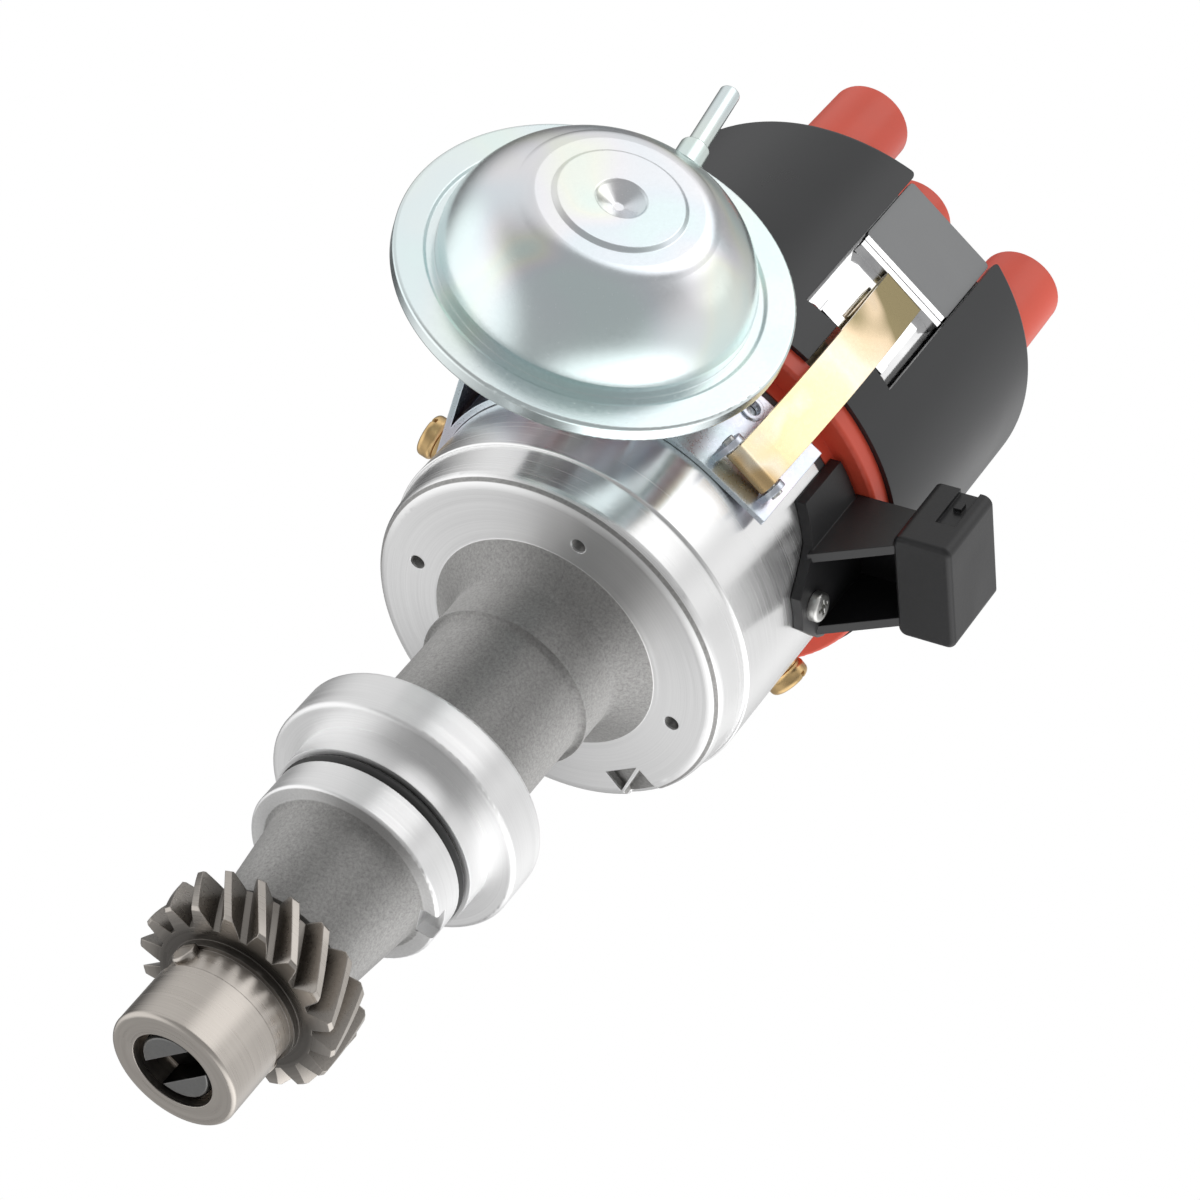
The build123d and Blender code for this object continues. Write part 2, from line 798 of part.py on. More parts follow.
# Helical gear with its long hub
twist = degrees((gear_top - gear_low) * tan(radians(helix_angle)) / gear_pitch_radius)
tooth_base = gear_root_radius - root_depth
envelope_radius = gear_tip_radius + tooth_over
with BuildPart() as drive_gear:
    for step in range(3):
        level = gear_low + step * (gear_top - gear_low) / 2
        with BuildSketch(Plane.XY.offset(level).rotated((0, 0, gear_phase - step * twist / 2))):
            with BuildLine():
                Line((tooth_base, -tooth_root_half), (gear_root_radius, -tooth_root_half))
                ThreePointArc(
                    (gear_root_radius, -tooth_root_half),
                    (gear_pitch_radius, -tooth_pitch_half),
                    (gear_tip_radius, -tooth_tip_half),
                )
                Line((gear_tip_radius, -tooth_tip_half), (gear_tip_radius, tooth_tip_half))
                ThreePointArc(
                    (gear_tip_radius, tooth_tip_half),
                    (gear_pitch_radius, tooth_pitch_half),
                    (gear_root_radius, tooth_root_half),
                )
                Line((gear_root_radius, tooth_root_half), (tooth_base, tooth_root_half))
                Line((tooth_base, tooth_root_half), (tooth_base, -tooth_root_half))
            make_face()
    loft()
    tooth = drive_gear.part
    with PolarLocations(0, teeth - 1, start_angle=360 / teeth, angular_range=360 - 360 / teeth):
        add(tooth)
    with BuildSketch(Plane.XY.offset(gear_low)):
        Circle(gear_root_radius)
    extrude(amount=gear_top - gear_low)
    with BuildSketch(Plane.XZ) as envelope:
        with BuildLine():
            Polyline(
                (0, gear_low),
                (envelope_radius, gear_low),
                (envelope_radius, gear_top),
                (0, gear_top),
                close=True,
            )
        make_face()
        chamfer(
            corners(envelope, (envelope_radius, gear_low), (envelope_radius, gear_top)),
            gear_bevel,
        )
    revolve(axis=Axis.Z, mode=Mode.INTERSECT)
    # hub, with a ground nose, a relief groove and a shoulder under the teeth
    with BuildSketch(Plane.XZ) as hub_section:
        with BuildLine():
            Polyline(
                (0, nose_low),
                (nose_radius, nose_low),
                (nose_radius, relief_groove_low),
                (nose_radius - relief_groove_depth, relief_groove_low),
                (nose_radius - relief_groove_depth, gear_low - shoulder_height),
                (shoulder_radius, gear_low - shoulder_height),
                (shoulder_radius, gear_low + shoulder_over),
                (0, gear_low + shoulder_over),
                close=True,
            )
        make_face()
        fillet(corners(hub_section, (nose_radius, nose_low)), nose_edge)
    revolve(axis=Axis.Z)
    with BuildSketch(Plane.XY.offset(nose_low)):
        Circle(shaft_radius)
    extrude(amount=gear_top - nose_low, mode=Mode.SUBTRACT)
    with BuildSketch(Plane.XY.offset(nose_low)):
        Circle(nose_bore_radius)
    extrude(amount=nose_bore_depth, mode=Mode.SUBTRACT)
    with BuildSketch(facing(pin_azimuth, 0)):
        with Locations((0, pin_height)):
            Circle(pin_radius)
    extrude(amount=shoulder_radius + 2, both=True, mode=Mode.SUBTRACT)
drive_gear.part.label = "drive_gear"
export_step(drive_gear.part, "parts/drive_gear.step")

# Cross pin, riveted over at both ends
with BuildPart() as gear_pin:
    with BuildSketch(facing(pin_azimuth, 0)):
        with Locations((0, pin_height)):
            Circle(pin_radius)
    extrude(amount=nose_radius + pin_proud, both=True)
    fillet(gear_pin.faces().filter_by(GeomType.PLANE).edges(), pin_edge)
gear_pin.part.label = "gear_pin"
export_step(gear_pin.part, "parts/gear_pin.step")

# Thrust washer between the gear and the stem
with BuildPart() as thrust_washer:
    with BuildSketch(Plane.XY.offset(gear_top)):
        Circle(washer_radius)
        Circle(shaft_radius, mode=Mode.SUBTRACT)
    extrude(amount=stem_low - gap - gear_top)
thrust_washer.part.label = "thrust_washer"
export_step(thrust_washer.part, "parts/thrust_washer.step")

# Shim on the upper bush
with BuildPart() as upper_shim:
    with BuildSketch(Plane.XY.offset(floor_top + gap)):
        Circle(washer_radius)
        Circle(shaft_radius, mode=Mode.SUBTRACT)
    extrude(amount=shim_thickness)
upper_shim.part.label = "upper_shim"
export_step(upper_shim.part, "parts/upper_shim.step")

# Weight carrier pressed on the shaft, with two pivots and two spring posts
with BuildPart() as weight_carrier:
    with BuildSketch(Plane.XY.offset(shaft_shoulder)):
        Circle(plate_radius)
        Circle(spindle_radius, mode=Mode.SUBTRACT)
        with PolarLocations(plate_radius, 2, start_angle=90):
            Circle(plate_notch_radius, mode=Mode.SUBTRACT)
    extrude(amount=plate_thickness)
    with BuildSketch(Plane.XY.offset(carrier_top)):
        with PolarLocations(pivot_circle, 2):
            Circle(pivot_radius)
    extrude(amount=weight_top - carrier_top)
    with BuildSketch(Plane.XY.offset(carrier_top)):
        with PolarLocations(spring_post_circle, 2, start_angle=spring_post_azimuth):
            Circle(spring_post_radius)
    extrude(amount=post_top - carrier_top)
weight_carrier.part.label = "weight_carrier"
export_step(weight_carrier.part, "parts/weight_carrier.step")

# Two centrifugal weights
weight_neck_length = pivot_circle * sin(radians(weight_head))
for name, turn in (("weight_a", 0), ("weight_b", 180)):
    with BuildPart() as weight:
        with BuildSketch(Plane.XY.offset(weight_low).rotated((0, 0, turn))):
            with BuildLine():
                CenterArc((0, 0), weight_outer, weight_head, weight_tail - weight_head)
                Line(polar(weight_outer, weight_tail), polar(weight_inner, weight_tail))
                CenterArc((0, 0), weight_inner, weight_head, weight_tail - weight_head)
                Line(polar(weight_inner, weight_head), polar(weight_outer, weight_head))
            make_face()
            with Locations((pivot_circle, 0)):
                Circle(weight_boss)
                Rectangle(weight_neck, weight_neck_length, align=(Align.CENTER, Align.MIN))
            with Locations((pivot_circle, 0)):
                Circle(pivot_radius + fit, mode=Mode.SUBTRACT)
        extrude(amount=weight_thickness)
    weight.part.label = name
    export_step(weight.part, "parts/" + name + ".step")

# Cam sleeve with its yoke: it turns on the spindle and carries the trigger wheel and rotor arm
with BuildPart() as cam_sleeve:
    with BuildSketch(Plane.XY.offset(yoke_low)):
        Circle(yoke_radius)
        with PolarLocations(yoke_radius, 2, start_angle=yoke_notch_azimuth):
            Circle(yoke_notch_radius, mode=Mode.SUBTRACT)
    extrude(amount=yoke_thickness)
    with BuildSketch(Plane.XY.offset(yoke_low)):
        Circle(sleeve_radius)
    extrude(amount=sleeve_top - yoke_low)
    with BuildSketch(Plane.XY.offset(yoke_low)):
        Circle(spindle_radius + fit)
    extrude(amount=sleeve_top - yoke_low, mode=Mode.SUBTRACT)
    with BuildSketch(Plane.XY.offset(yoke_top)):
        with PolarLocations(yoke_post_circle, 2, start_angle=yoke_post_azimuth):
            Circle(spring_post_radius)
    extrude(amount=post_top - yoke_top)
cam_sleeve.part.label = "cam_sleeve"
export_step(cam_sleeve.part, "parts/cam_sleeve.step")

# Two return springs: a close-wound body with an eye round a post at each end
eye_reach = spring_post_radius + eye_play
with BuildPart() as weight_springs:
    for turn in (0, 180):
        outer = Vector(*polar(spring_post_circle, spring_post_azimuth + turn), spring_height)
        inner = Vector(*polar(yoke_post_circle, yoke_post_azimuth + turn), spring_height)
        along = (inner - outer).normalized()
        span = (inner - outer).length
        with BuildSketch(Plane(origin=outer + along * spring_end, z_dir=along)):
            Circle(spring_radius)
        extrude(amount=span - 2 * spring_end)
        with BuildSketch(Plane(origin=outer + along * (eye_reach + eye_wire / 2), z_dir=along)):
            Circle(eye_wire / 2)
        extrude(amount=span - 2 * eye_reach - eye_wire)
        with BuildSketch(Plane.XY.offset(spring_height - eye_wire / 2)):
            with Locations((outer.X, outer.Y), (inner.X, inner.Y)):
                Circle(eye_reach + eye_wire)
                Circle(eye_reach, mode=Mode.SUBTRACT)
        extrude(amount=eye_wire)
weight_springs.part.label = "weight_springs"
export_step(weight_springs.part, "parts/weight_springs.step")

# Oil felt in the spindle's end
with BuildPart() as felt_wick:
    with BuildSketch(Plane.XY.offset(spindle_top - felt_depth)):
        Circle(felt_radius - fit)
    extrude(amount=felt_depth)
felt_wick.part.label = "felt_wick"
export_step(felt_wick.part, "parts/felt_wick.step")

# Bearing plate on the bowl's ledge, with an upturned ear for each screw
with BuildPart() as bearing_plate:
    with BuildSketch(Plane.XY.offset(ledge_height)):
        Circle(bowl_inside - fit)
        Circle(bearing_bore, mode=Mode.SUBTRACT)
        with PolarLocations(bearing_hole_circle, 3, start_angle=bearing_hole_azimuth):
            Circle(bearing_hole_radius, mode=Mode.SUBTRACT)
    extrude(amount=bearing_plate_thickness)
    with BuildSketch(Plane.XY.offset(bearing_plate_top)):
        Circle(bearing_radius)
        Circle(bearing_bore, mode=Mode.SUBTRACT)
    extrude(amount=bearing_height)
    for azimuth, height in (
        (bracket_screw_azimuth, bracket_screw_height),
        (plate_screw_azimuth, plate_screw_height),
    ):
        with BuildSketch(facing(azimuth, ear_distance)):
            with Locations((0, ledge_height)):
                Rectangle(
                    2 * ear_half_width, height + ear_margin - ledge_height, align=(Align.CENTER, Align.MIN)
                )
            with Locations((0, height)):
                Circle(screw_radius, mode=Mode.SUBTRACT)
        extrude(amount=ear_thickness)
bearing_plate.part.label = "bearing_plate"
export_step(bearing_plate.part, "parts/bearing_plate.step")

# Plate that swings on the bearing under vacuum; it carries the Hall sensor and the rod's pin
with BuildPart() as hall_plate:
    with BuildSketch(Plane.XY.offset(hall_low)):
        Circle(hall_plate_radius)
        Circle(bearing_radius + fit, mode=Mode.SUBTRACT)
        with PolarLocations(hall_slot_circle, 2, start_angle=hall_slot_azimuth):
            SlotCenterToCenter(hall_slot_span, hall_slot_width, rotation=90, mode=Mode.SUBTRACT)
    extrude(amount=hall_plate_thickness)
    with BuildSketch(Plane.XY.offset(hall_top)):
        with Locations((can_x, rod_pin_lead)):
            Circle(rod_pin_radius + rod_pin_shoulder)
    extrude(amount=rod_low - gap - hall_top)
    with BuildSketch(Plane.XY.offset(hall_top)):
        with Locations((can_x, rod_pin_lead)):
            Circle(rod_pin_radius)
    extrude(amount=rod_pin_top - hall_top)
hall_plate.part.label = "hall_plate"
export_step(hall_plate.part, "parts/hall_plate.step")

# Hall sensor: magnet inside the trigger wheel's vanes, chip outside them
vane_inner = vane_radius - vane_thickness
with BuildPart() as hall_sensor:
    with BuildSketch(Plane.XY.offset(hall_top).rotated((0, 0, sensor_azimuth))):
        with Locations(((sensor_inner + sensor_outer) / 2, 0)):
            Rectangle(sensor_outer - sensor_inner, sensor_width)
    extrude(amount=sensor_top - hall_top)
    fillet(hall_sensor.edges().filter_by(Axis.Z), sensor_corner)
    with BuildSketch(Plane.XY.offset(sensor_base_top)):
        Circle(vane_radius + sensor_clearance)
        Circle(vane_inner - sensor_clearance, mode=Mode.SUBTRACT)
    extrude(amount=sensor_top - sensor_base_top, mode=Mode.SUBTRACT)
hall_sensor.part.label = "hall_sensor"
export_step(hall_sensor.part, "parts/hall_sensor.step")

# Trigger wheel: hub, disc and four windows between four vanes
with BuildPart() as trigger_wheel:
    with BuildSketch(Plane.XY.offset(hub_low)):
        Circle(sleeve_radius + hub_wall)
    extrude(amount=vane_top - hub_low)
    with BuildSketch(Plane.XY.offset(vane_top)):
        Circle(vane_radius)
    extrude(amount=wheel_disc)
    with BuildSketch(Plane.XY.offset(vane_low)):
        Circle(vane_radius)
        Circle(vane_inner, mode=Mode.SUBTRACT)
        with PolarLocations(0, vane_count):
            Polygon(
                (0, 0),
                polar(2 * vane_radius, -vane_window / 2),
                polar(2 * vane_radius, vane_window / 2),
                align=None,
                mode=Mode.SUBTRACT,
            )
    extrude(amount=vane_top - vane_low)
    with BuildSketch(Plane.XY.offset(hub_low)):
        Circle(sleeve_radius)
    extrude(amount=vane_top + wheel_disc - hub_low, mode=Mode.SUBTRACT)
trigger_wheel.part.label = "trigger_wheel"
export_step(trigger_wheel.part, "parts/trigger_wheel.step")

# Spring ring that holds the trigger wheel down
with BuildPart() as trigger_clip:
    with BuildSketch(Plane.XY.offset(vane_top + wheel_disc)):
        Circle(sleeve_radius + circlip_width)
        Circle(sleeve_radius, mode=Mode.SUBTRACT)
        with Locations((sleeve_radius, 0)):
            Rectangle(3 * circlip_width, circlip_gap, mode=Mode.SUBTRACT)
    extrude(amount=circlip_thickness)
trigger_clip.part.label = "trigger_clip"
export_step(trigger_clip.part, "parts/trigger_clip.step")

# Rotor arm, its contact and its resistor
rotor_bore_top = spindle_top + rotor_play
with BuildPart() as rotor_arm:
    with BuildSketch(Plane.XY.offset(rotor_low)):
        Circle(rotor_hub_radius)
    extrude(amount=rotor_arm_low - rotor_low)
    with BuildSketch(Plane.XY.offset(rotor_arm_low).rotated((0, 0, rotor_azimuth))):
        with BuildLine():
            Polyline(
                (rotor_arm_end, -contact_width / 2 - 1),
                (rotor_arm_end, contact_width / 2 + 1),
                (rotor_belly, rotor_width / 2 + 3),
                (-rotor_belly, rotor_width / 2 + 3),
                (rotor_tail_end, rotor_width / 2 - 2),
                (rotor_tail_end, 2 - rotor_width / 2),
                (-rotor_belly, -rotor_width / 2 - 3),
                (rotor_belly, -rotor_width / 2 - 3),
                close=True,
            )
        make_face()
    extrude(amount=rotor_top - rotor_arm_low)
    fillet(rotor_arm.edges().filter_by(Axis.Z), rotor_corner)
    with BuildSketch(Plane.XY.offset(rotor_low)):
        Circle(sleeve_radius + fit)
    extrude(amount=sleeve_top + rotor_seat_play - rotor_low, mode=Mode.SUBTRACT)
    with BuildSketch(Plane.XY.offset(rotor_low)):
        Circle(spindle_radius + rotor_play)
    extrude(amount=rotor_bore_top - rotor_low, mode=Mode.SUBTRACT)
    with BuildSketch(Plane.XY.offset(rotor_top).rotated((0, 0, rotor_azimuth))):
        with Locations(((resistor_start + resistor_end) / 2, 0)):
            Rectangle(resistor_end - resistor_start, resistor_width)
    extrude(amount=-resistor_depth, mode=Mode.SUBTRACT)
rotor_arm.part.label = "rotor_arm"
export_step(rotor_arm.part, "parts/rotor_arm.step")

with BuildPart() as rotor_contact:
    with BuildSketch(Plane.XY.offset(rotor_top).rotated((0, 0, rotor_azimuth))) as outline:
        with Locations(((rotor_tip - contact_tail) / 2, 0)):
            Rectangle(rotor_tip + contact_tail, contact_width)
        with Locations((0, 0)):
            Circle(rotor_tip, mode=Mode.INTERSECT)
        fillet(outline.vertices().group_by(SortBy.DISTANCE)[0], rotor_corner)
    extrude(amount=contact_thickness)
    with BuildSketch(Plane.XY.offset(rotor_top - contact_drop).rotated((0, 0, rotor_azimuth))):
        Circle(rotor_tip)
        with Locations((rotor_tip, 0)):
            Rectangle(2 * contact_tip, contact_width, mode=Mode.INTERSECT)
    extrude(amount=contact_drop)
rotor_contact.part.label = "rotor_contact"
export_step(rotor_contact.part, "parts/rotor_contact.step")

with BuildPart() as rotor_resistor:
    with BuildSketch(Plane.XY.offset(rotor_top).rotated((0, 0, rotor_azimuth))):
        with Locations(((resistor_start + resistor_end) / 2, 0)):
            Rectangle(resistor_end - resistor_start - 2 * fit, resistor_width - 2 * fit)
    extrude(amount=-resistor_depth)
rotor_resistor.part.label = "rotor_resistor"
export_step(rotor_resistor.part, "parts/rotor_resistor.step")

# Dust cover between the bowl and the cap
with BuildPart() as dust_cover:
    with BuildSketch(Plane.XY.offset(bowl_top)):
        Circle(dust_radius)
        Circle(dust_inner, mode=Mode.SUBTRACT)
    extrude(amount=dust_rim)
    with BuildSketch(Plane.XY.offset(bowl_top - dust_thickness)):
        Circle(bowl_inside - gap)
        Circle(dust_bore, mode=Mode.SUBTRACT)
    extrude(amount=dust_thickness)
    with BuildSketch(Plane.XY.offset(bowl_top)):
        Circle(dust_bore + dust_collar)
        Circle(dust_bore, mode=Mode.SUBTRACT)
    extrude(amount=dust_rim)
dust_cover.part.label = "dust_cover"
export_step(dust_cover.part, "parts/dust_cover.step")

# Cap: moulded shell with flats at the clip windows, four outer towers and a taller centre tower
window_azimuth = window_azimuths[0]
tower_places = [window_azimuth + 45 + 90 * count for count in range(4)]
with BuildPart() as cap:
    with BuildSketch(Plane.XZ) as section:
        with BuildLine():
            Polyline(
                (0, cap_inside_top),
                (cap_inside_radius, cap_inside_top),
                (cap_inside_radius, cap_low),
                (dust_radius, cap_low),
                (dust_radius, flange_low),
                (flange_radius, flange_low),
                (flange_radius, flange_top),
                (cap_radius, flange_top),
                (cap_radius, cap_top),
                (0, cap_top),
                close=True,
            )
        make_face()
        fillet(corners(section, (cap_radius, cap_top)), cap_top_fillet)
        fillet(corners(section, (flange_radius, flange_low)), flange_edge)
    revolve(axis=Axis.Z)
    with BuildSketch(Plane.XY.offset(flange_top)):
        Circle(cap_radius + 1)
        Rectangle(
            2 * flat_distance, 3 * cap_radius, rotation=window_azimuth, mode=Mode.SUBTRACT
        )
    extrude(amount=cap_top - flange_top, mode=Mode.SUBTRACT)
    # bosses round the electrodes and the brush
    with BuildSketch(Plane.XY.offset(electrode_boss_low)):
        for azimuth in tower_places:
            with Locations(polar(tower_circle, azimuth)):
                Circle(electrode_boss_radius)
    extrude(amount=cap_inside_top - electrode_boss_low)
    with BuildSketch(Plane.XY.offset(brush_boss_low)):
        Circle(brush_boss_radius)
    extrude(amount=cap_inside_top - brush_boss_low)
    # towers
    for azimuth in tower_places:
        with Locations((*polar(tower_circle, azimuth), cap_top - tower_root)):
            Cone(
                tower_radius + tower_draft,
                tower_radius,
                tower_top - cap_top + tower_root,
                align=(Align.CENTER, Align.CENTER, Align.MIN),
            )
    with Locations((0, 0, cap_top - tower_root)):
        Cone(
            centre_tower_radius + tower_draft,
            centre_tower_radius,
            centre_tower_top - cap_top + tower_root,
            align=(Align.CENTER, Align.CENTER, Align.MIN),
        )
    rims = cap.faces().filter_by(Plane.XY).filter_by(lambda face: face.center().Z > cap_top + 1)
    fillet(rims.edges(), tower_fillet)
    for azimuth in tower_places:
        with Locations((*polar(tower_circle, azimuth), tower_top)):
            Hole(terminal_bore, terminal_depth)
        with Locations((*polar(tower_circle, azimuth), tower_top)):
            Hole(electrode_radius, tower_top - electrode_boss_low + 1)
    with Locations((0, 0, centre_tower_top)):
        Hole(terminal_bore, terminal_depth)
        Hole(electrode_radius, centre_tower_top - brush_hole_top)
        Hole(brush_radius + fit, centre_tower_top - brush_boss_low + 1)
cap.part.label = "cap"
export_step(cap.part, "parts/cap.step")

# Outer electrodes and centre terminal, moulded into the cap
with BuildPart() as electrodes:
    for azimuth in tower_places:
        with BuildSketch(Plane.XY.offset(electrode_low)):
            with Locations(polar(tower_circle, azimuth)):
                Circle(electrode_radius)
        extrude(amount=tower_top - terminal_depth - electrode_low)
electrodes.part.label = "electrodes"
export_step(electrodes.part, "parts/electrodes.step")

with BuildPart() as centre_terminal:
    with BuildSketch(Plane.XY.offset(brush_hole_top)):
        Circle(electrode_radius)
    extrude(amount=centre_tower_top - terminal_depth - brush_hole_top)
centre_terminal.part.label = "centre_terminal"
export_step(centre_terminal.part, "parts/centre_terminal.step")

# Carbon brush on the rotor's contact, and its spring
brush_low = contact_top + gap
brush_top = brush_low + brush_length
with BuildPart() as carbon_brush:
    with BuildSketch(Plane.XY.offset(brush_low)):
        Circle(brush_radius)
    extrude(amount=brush_length)
    fillet(carbon_brush.faces().sort_by(Axis.Z)[0].edges(), brush_edge)
carbon_brush.part.label = "carbon_brush"
export_step(carbon_brush.part, "parts/carbon_brush.step")

with BuildPart() as brush_spring:
    spring_span = brush_hole_top - brush_top - 2 * (brush_spring_wire + spring_contact)
    with BuildLine() as coil:
        Helix(
            spring_span / brush_spring_turns,
            spring_span,
            brush_radius - brush_spring_wire - brush_spring_play,
            center=(0, 0, brush_top + brush_spring_wire + spring_contact),
        )
    with BuildSketch(Plane(origin=coil.line @ 0, z_dir=coil.line % 0)):
        Circle(brush_spring_wire)
    sweep(path=coil.line, is_frenet=True)
brush_spring.part.label = "brush_spring"
export_step(brush_spring.part, "parts/brush_spring.step")

# Sheet screen round the cap, with the hooks and lips at the two clip windows
screen_inner = screen_radius - screen_sheet
with BuildPart() as cap_screen:
    with BuildSketch(Plane.XY.offset(screen_low)):
        Circle(screen_radius)
        Rectangle(2 * screen_flat, 3 * screen_radius, rotation=window_azimuth, mode=Mode.INTERSECT)
    extrude(amount=screen_top - screen_low)
    for azimuth in window_azimuths:
        with BuildSketch(upright(azimuth)):
            Polygon(
                (screen_flat - ledge_root, hook_low),
                (hook_out, hook_low),
                (hook_out, hook_edge),
                (screen_flat - ledge_root, hook_edge + hook_out - screen_flat + ledge_root),
                align=None,
            )
        extrude(amount=hook_half, both=True)
        with BuildSketch(upright(azimuth)):
            for low, out in (
                (lip_low, lip_out),
                (lip_low + lip_sheet + lip_groove, lip_out - upper_lip_set_in),
            ):
                Polygon(
                    (screen_flat - ledge_root, low),
                    (out, low),
                    (out, low + lip_sheet),
                    (screen_flat - ledge_root, low + lip_sheet),
                    align=None,
                )
        extrude(amount=lip_half, both=True)
    with BuildSketch(Plane.XY.offset(screen_low)):
        Circle(screen_inner)
        Rectangle(
            2 * (screen_flat - screen_sheet),
            3 * screen_radius,
            rotation=window_azimuth,
            mode=Mode.INTERSECT,
        )
    extrude(amount=screen_top - screen_low, mode=Mode.SUBTRACT)
    # round relief holes at the ends of each bent-out hook
    relief_hole_height = sill_height + relief_hole_rise
    for azimuth in window_azimuths:
        with BuildSketch(facing(azimuth, screen_flat)):
            with Locations((-relief_hole_side, relief_hole_height), (relief_hole_side, relief_hole_height)):
                Circle(relief_hole_radius)
        extrude(amount=-2 * screen_sheet, mode=Mode.SUBTRACT)
cap_screen.part.label = "cap_screen"
export_step(cap_screen.part, "parts/cap_screen.step")

# Flat plates above the clip windows
with BuildPart() as clip_panels:
    for azimuth in window_azimuths:
        with BuildSketch(facing(azimuth, screen_flat + panel_seat)) as plate:
            with Locations((0, (panel_low + panel_top) / 2)):
                Rectangle(2 * panel_half, panel_top - panel_low)
            fillet(plate.vertices().group_by(Axis.Z)[-1], panel_corner)
        extrude(amount=panel_thickness)
clip_panels.part.label = "clip_panels"
export_step(clip_panels.part, "parts/clip_panels.step")

# Moulded shield: it stands on the cap's flange and is open at the clips
shield_inner = shield_radius - shield_wall
with BuildPart() as cap_shield:
    with BuildSketch(Plane.XZ) as section:
        with BuildLine():
            Polyline(
                (shield_inner, flange_top),
                (shield_radius, flange_top),
                (shield_radius, shield_top),
                (shield_lip_radius, shield_top),
                (shield_lip_radius, shield_top - shield_lip_thickness),
                (shield_inner, shield_top - shield_lip_thickness),
                close=True,
            )
        make_face()
        fillet(corners(section, (shield_radius, shield_top)), shield_fillet)
    revolve(axis=Axis.Z)
    for azimuth, clip_azimuth in zip(window_azimuths, clip_azimuths):
        with BuildSketch(facing(azimuth, screen_radius - cut_over)):
            with Locations((0, sill_height)):
                Rectangle(2 * window_half, shield_top, align=(Align.CENTER, Align.MIN))
            for side in (-1, 1):
                with Locations((side * (window_half + shield_corner / 2), shield_top - shield_corner / 2)):
                    Rectangle(shield_corner, shield_corner)
                with Locations((side * (window_half + shield_corner), shield_top - shield_corner)):
                    Circle(shield_corner, mode=Mode.SUBTRACT)
        extrude(amount=shield_radius - screen_radius + 2 * cut_over, mode=Mode.SUBTRACT)
        with BuildSketch(facing(clip_azimuth, screen_radius - cut_over)):
            with Locations((0, (flange_top + sill_height) / 2)):
                Rectangle(clip_width + 2 * slot_clearance, sill_height - flange_top + 2 * slot_over)
        extrude(amount=shield_radius - screen_radius + 2 * cut_over, mode=Mode.SUBTRACT)
cap_shield.part.label = "cap_shield"
export_step(cap_shield.part, "parts/cap_shield.step")

# Spring clips: a curl round the pin, a bowed strap and a leaf folded down onto the screen's hook
curl_radius = clip_pin_radius + fit + clip_sheet
curl_middle = clip_pin_radius + fit + clip_sheet / 2
leaf_gap = gap * sqrt(2)
nose_height = hook_edge + hook_out - clip_nose_out + clip_sheet / 2 + leaf_gap
for name, azimuth in (("clip_front", front_azimuth), ("clip_rear", rear_azimuth)):
    with BuildPart() as clip:
        with BuildSketch(upright(azimuth)):
            with BuildLine() as strap:
                Line(
                    (clip_pivot_out + curl_middle, clip_pivot_height), (clip_fold_out, clip_fold_height)
                )
                ThreePointArc(
                    (clip_fold_out, clip_fold_height),
                    (clip_belly_out, clip_belly_height),
                    (clip_crease_out, clip_crease_height),
                )
                Line((clip_crease_out, clip_crease_height), (clip_top_out, clip_top_height))
                ThreePointArc(
                    (clip_top_out, clip_top_height),
                    ((clip_top_out + clip_leaf_top_out) / 2, clip_top_height + clip_crown),
                    (clip_leaf_top_out, clip_top_height),
                )
                Line((clip_leaf_top_out, clip_top_height), (clip_nose_out, nose_height))
            trace(line_width=clip_sheet)
            with Locations((clip_pivot_out, clip_pivot_height)):
                Circle(curl_radius)
                Circle(clip_pin_radius + fit, mode=Mode.SUBTRACT)
        extrude(amount=clip_width / 2, both=True)
    clip.part.label = name
    export_step(clip.part, "parts/" + name + ".step")

# Pivot pins of the clips
ear_inner = clip_width / 2 + clip_ear_gap
ear_outer = ear_inner + clip_ear_thickness
with BuildPart() as clip_pins:
    for azimuth in clip_azimuths:
        with BuildSketch(upright(azimuth)):
            with Locations((clip_pivot_out, clip_pivot_height)):
                Circle(clip_pin_radius)
        extrude(amount=ear_outer + clip_pin_head, both=True)
clip_pins.part.label = "clip_pins"
export_step(clip_pins.part, "parts/clip_pins.step")


def clip_ears(azimuth):
    """Two ears that hold a clip's pin, for the bracket at this azimuth."""
    with BuildPart() as ears:
        for side in (ear_inner, -ear_outer):
            with BuildSketch(upright(azimuth).offset(side)):
                with Locations((clip_pivot_out, clip_pivot_height)):
                    Circle(clip_ear_radius)
                with Locations(((clip_ear_inner + clip_pivot_out) / 2, clip_pivot_height)):
                    Rectangle(clip_pivot_out - clip_ear_inner, 2 * clip_ear_radius)
                with Locations((clip_pivot_out, clip_pivot_height)):
                    Circle(clip_pin_radius, mode=Mode.SUBTRACT)
            extrude(amount=clip_ear_thickness)
    return ears.part


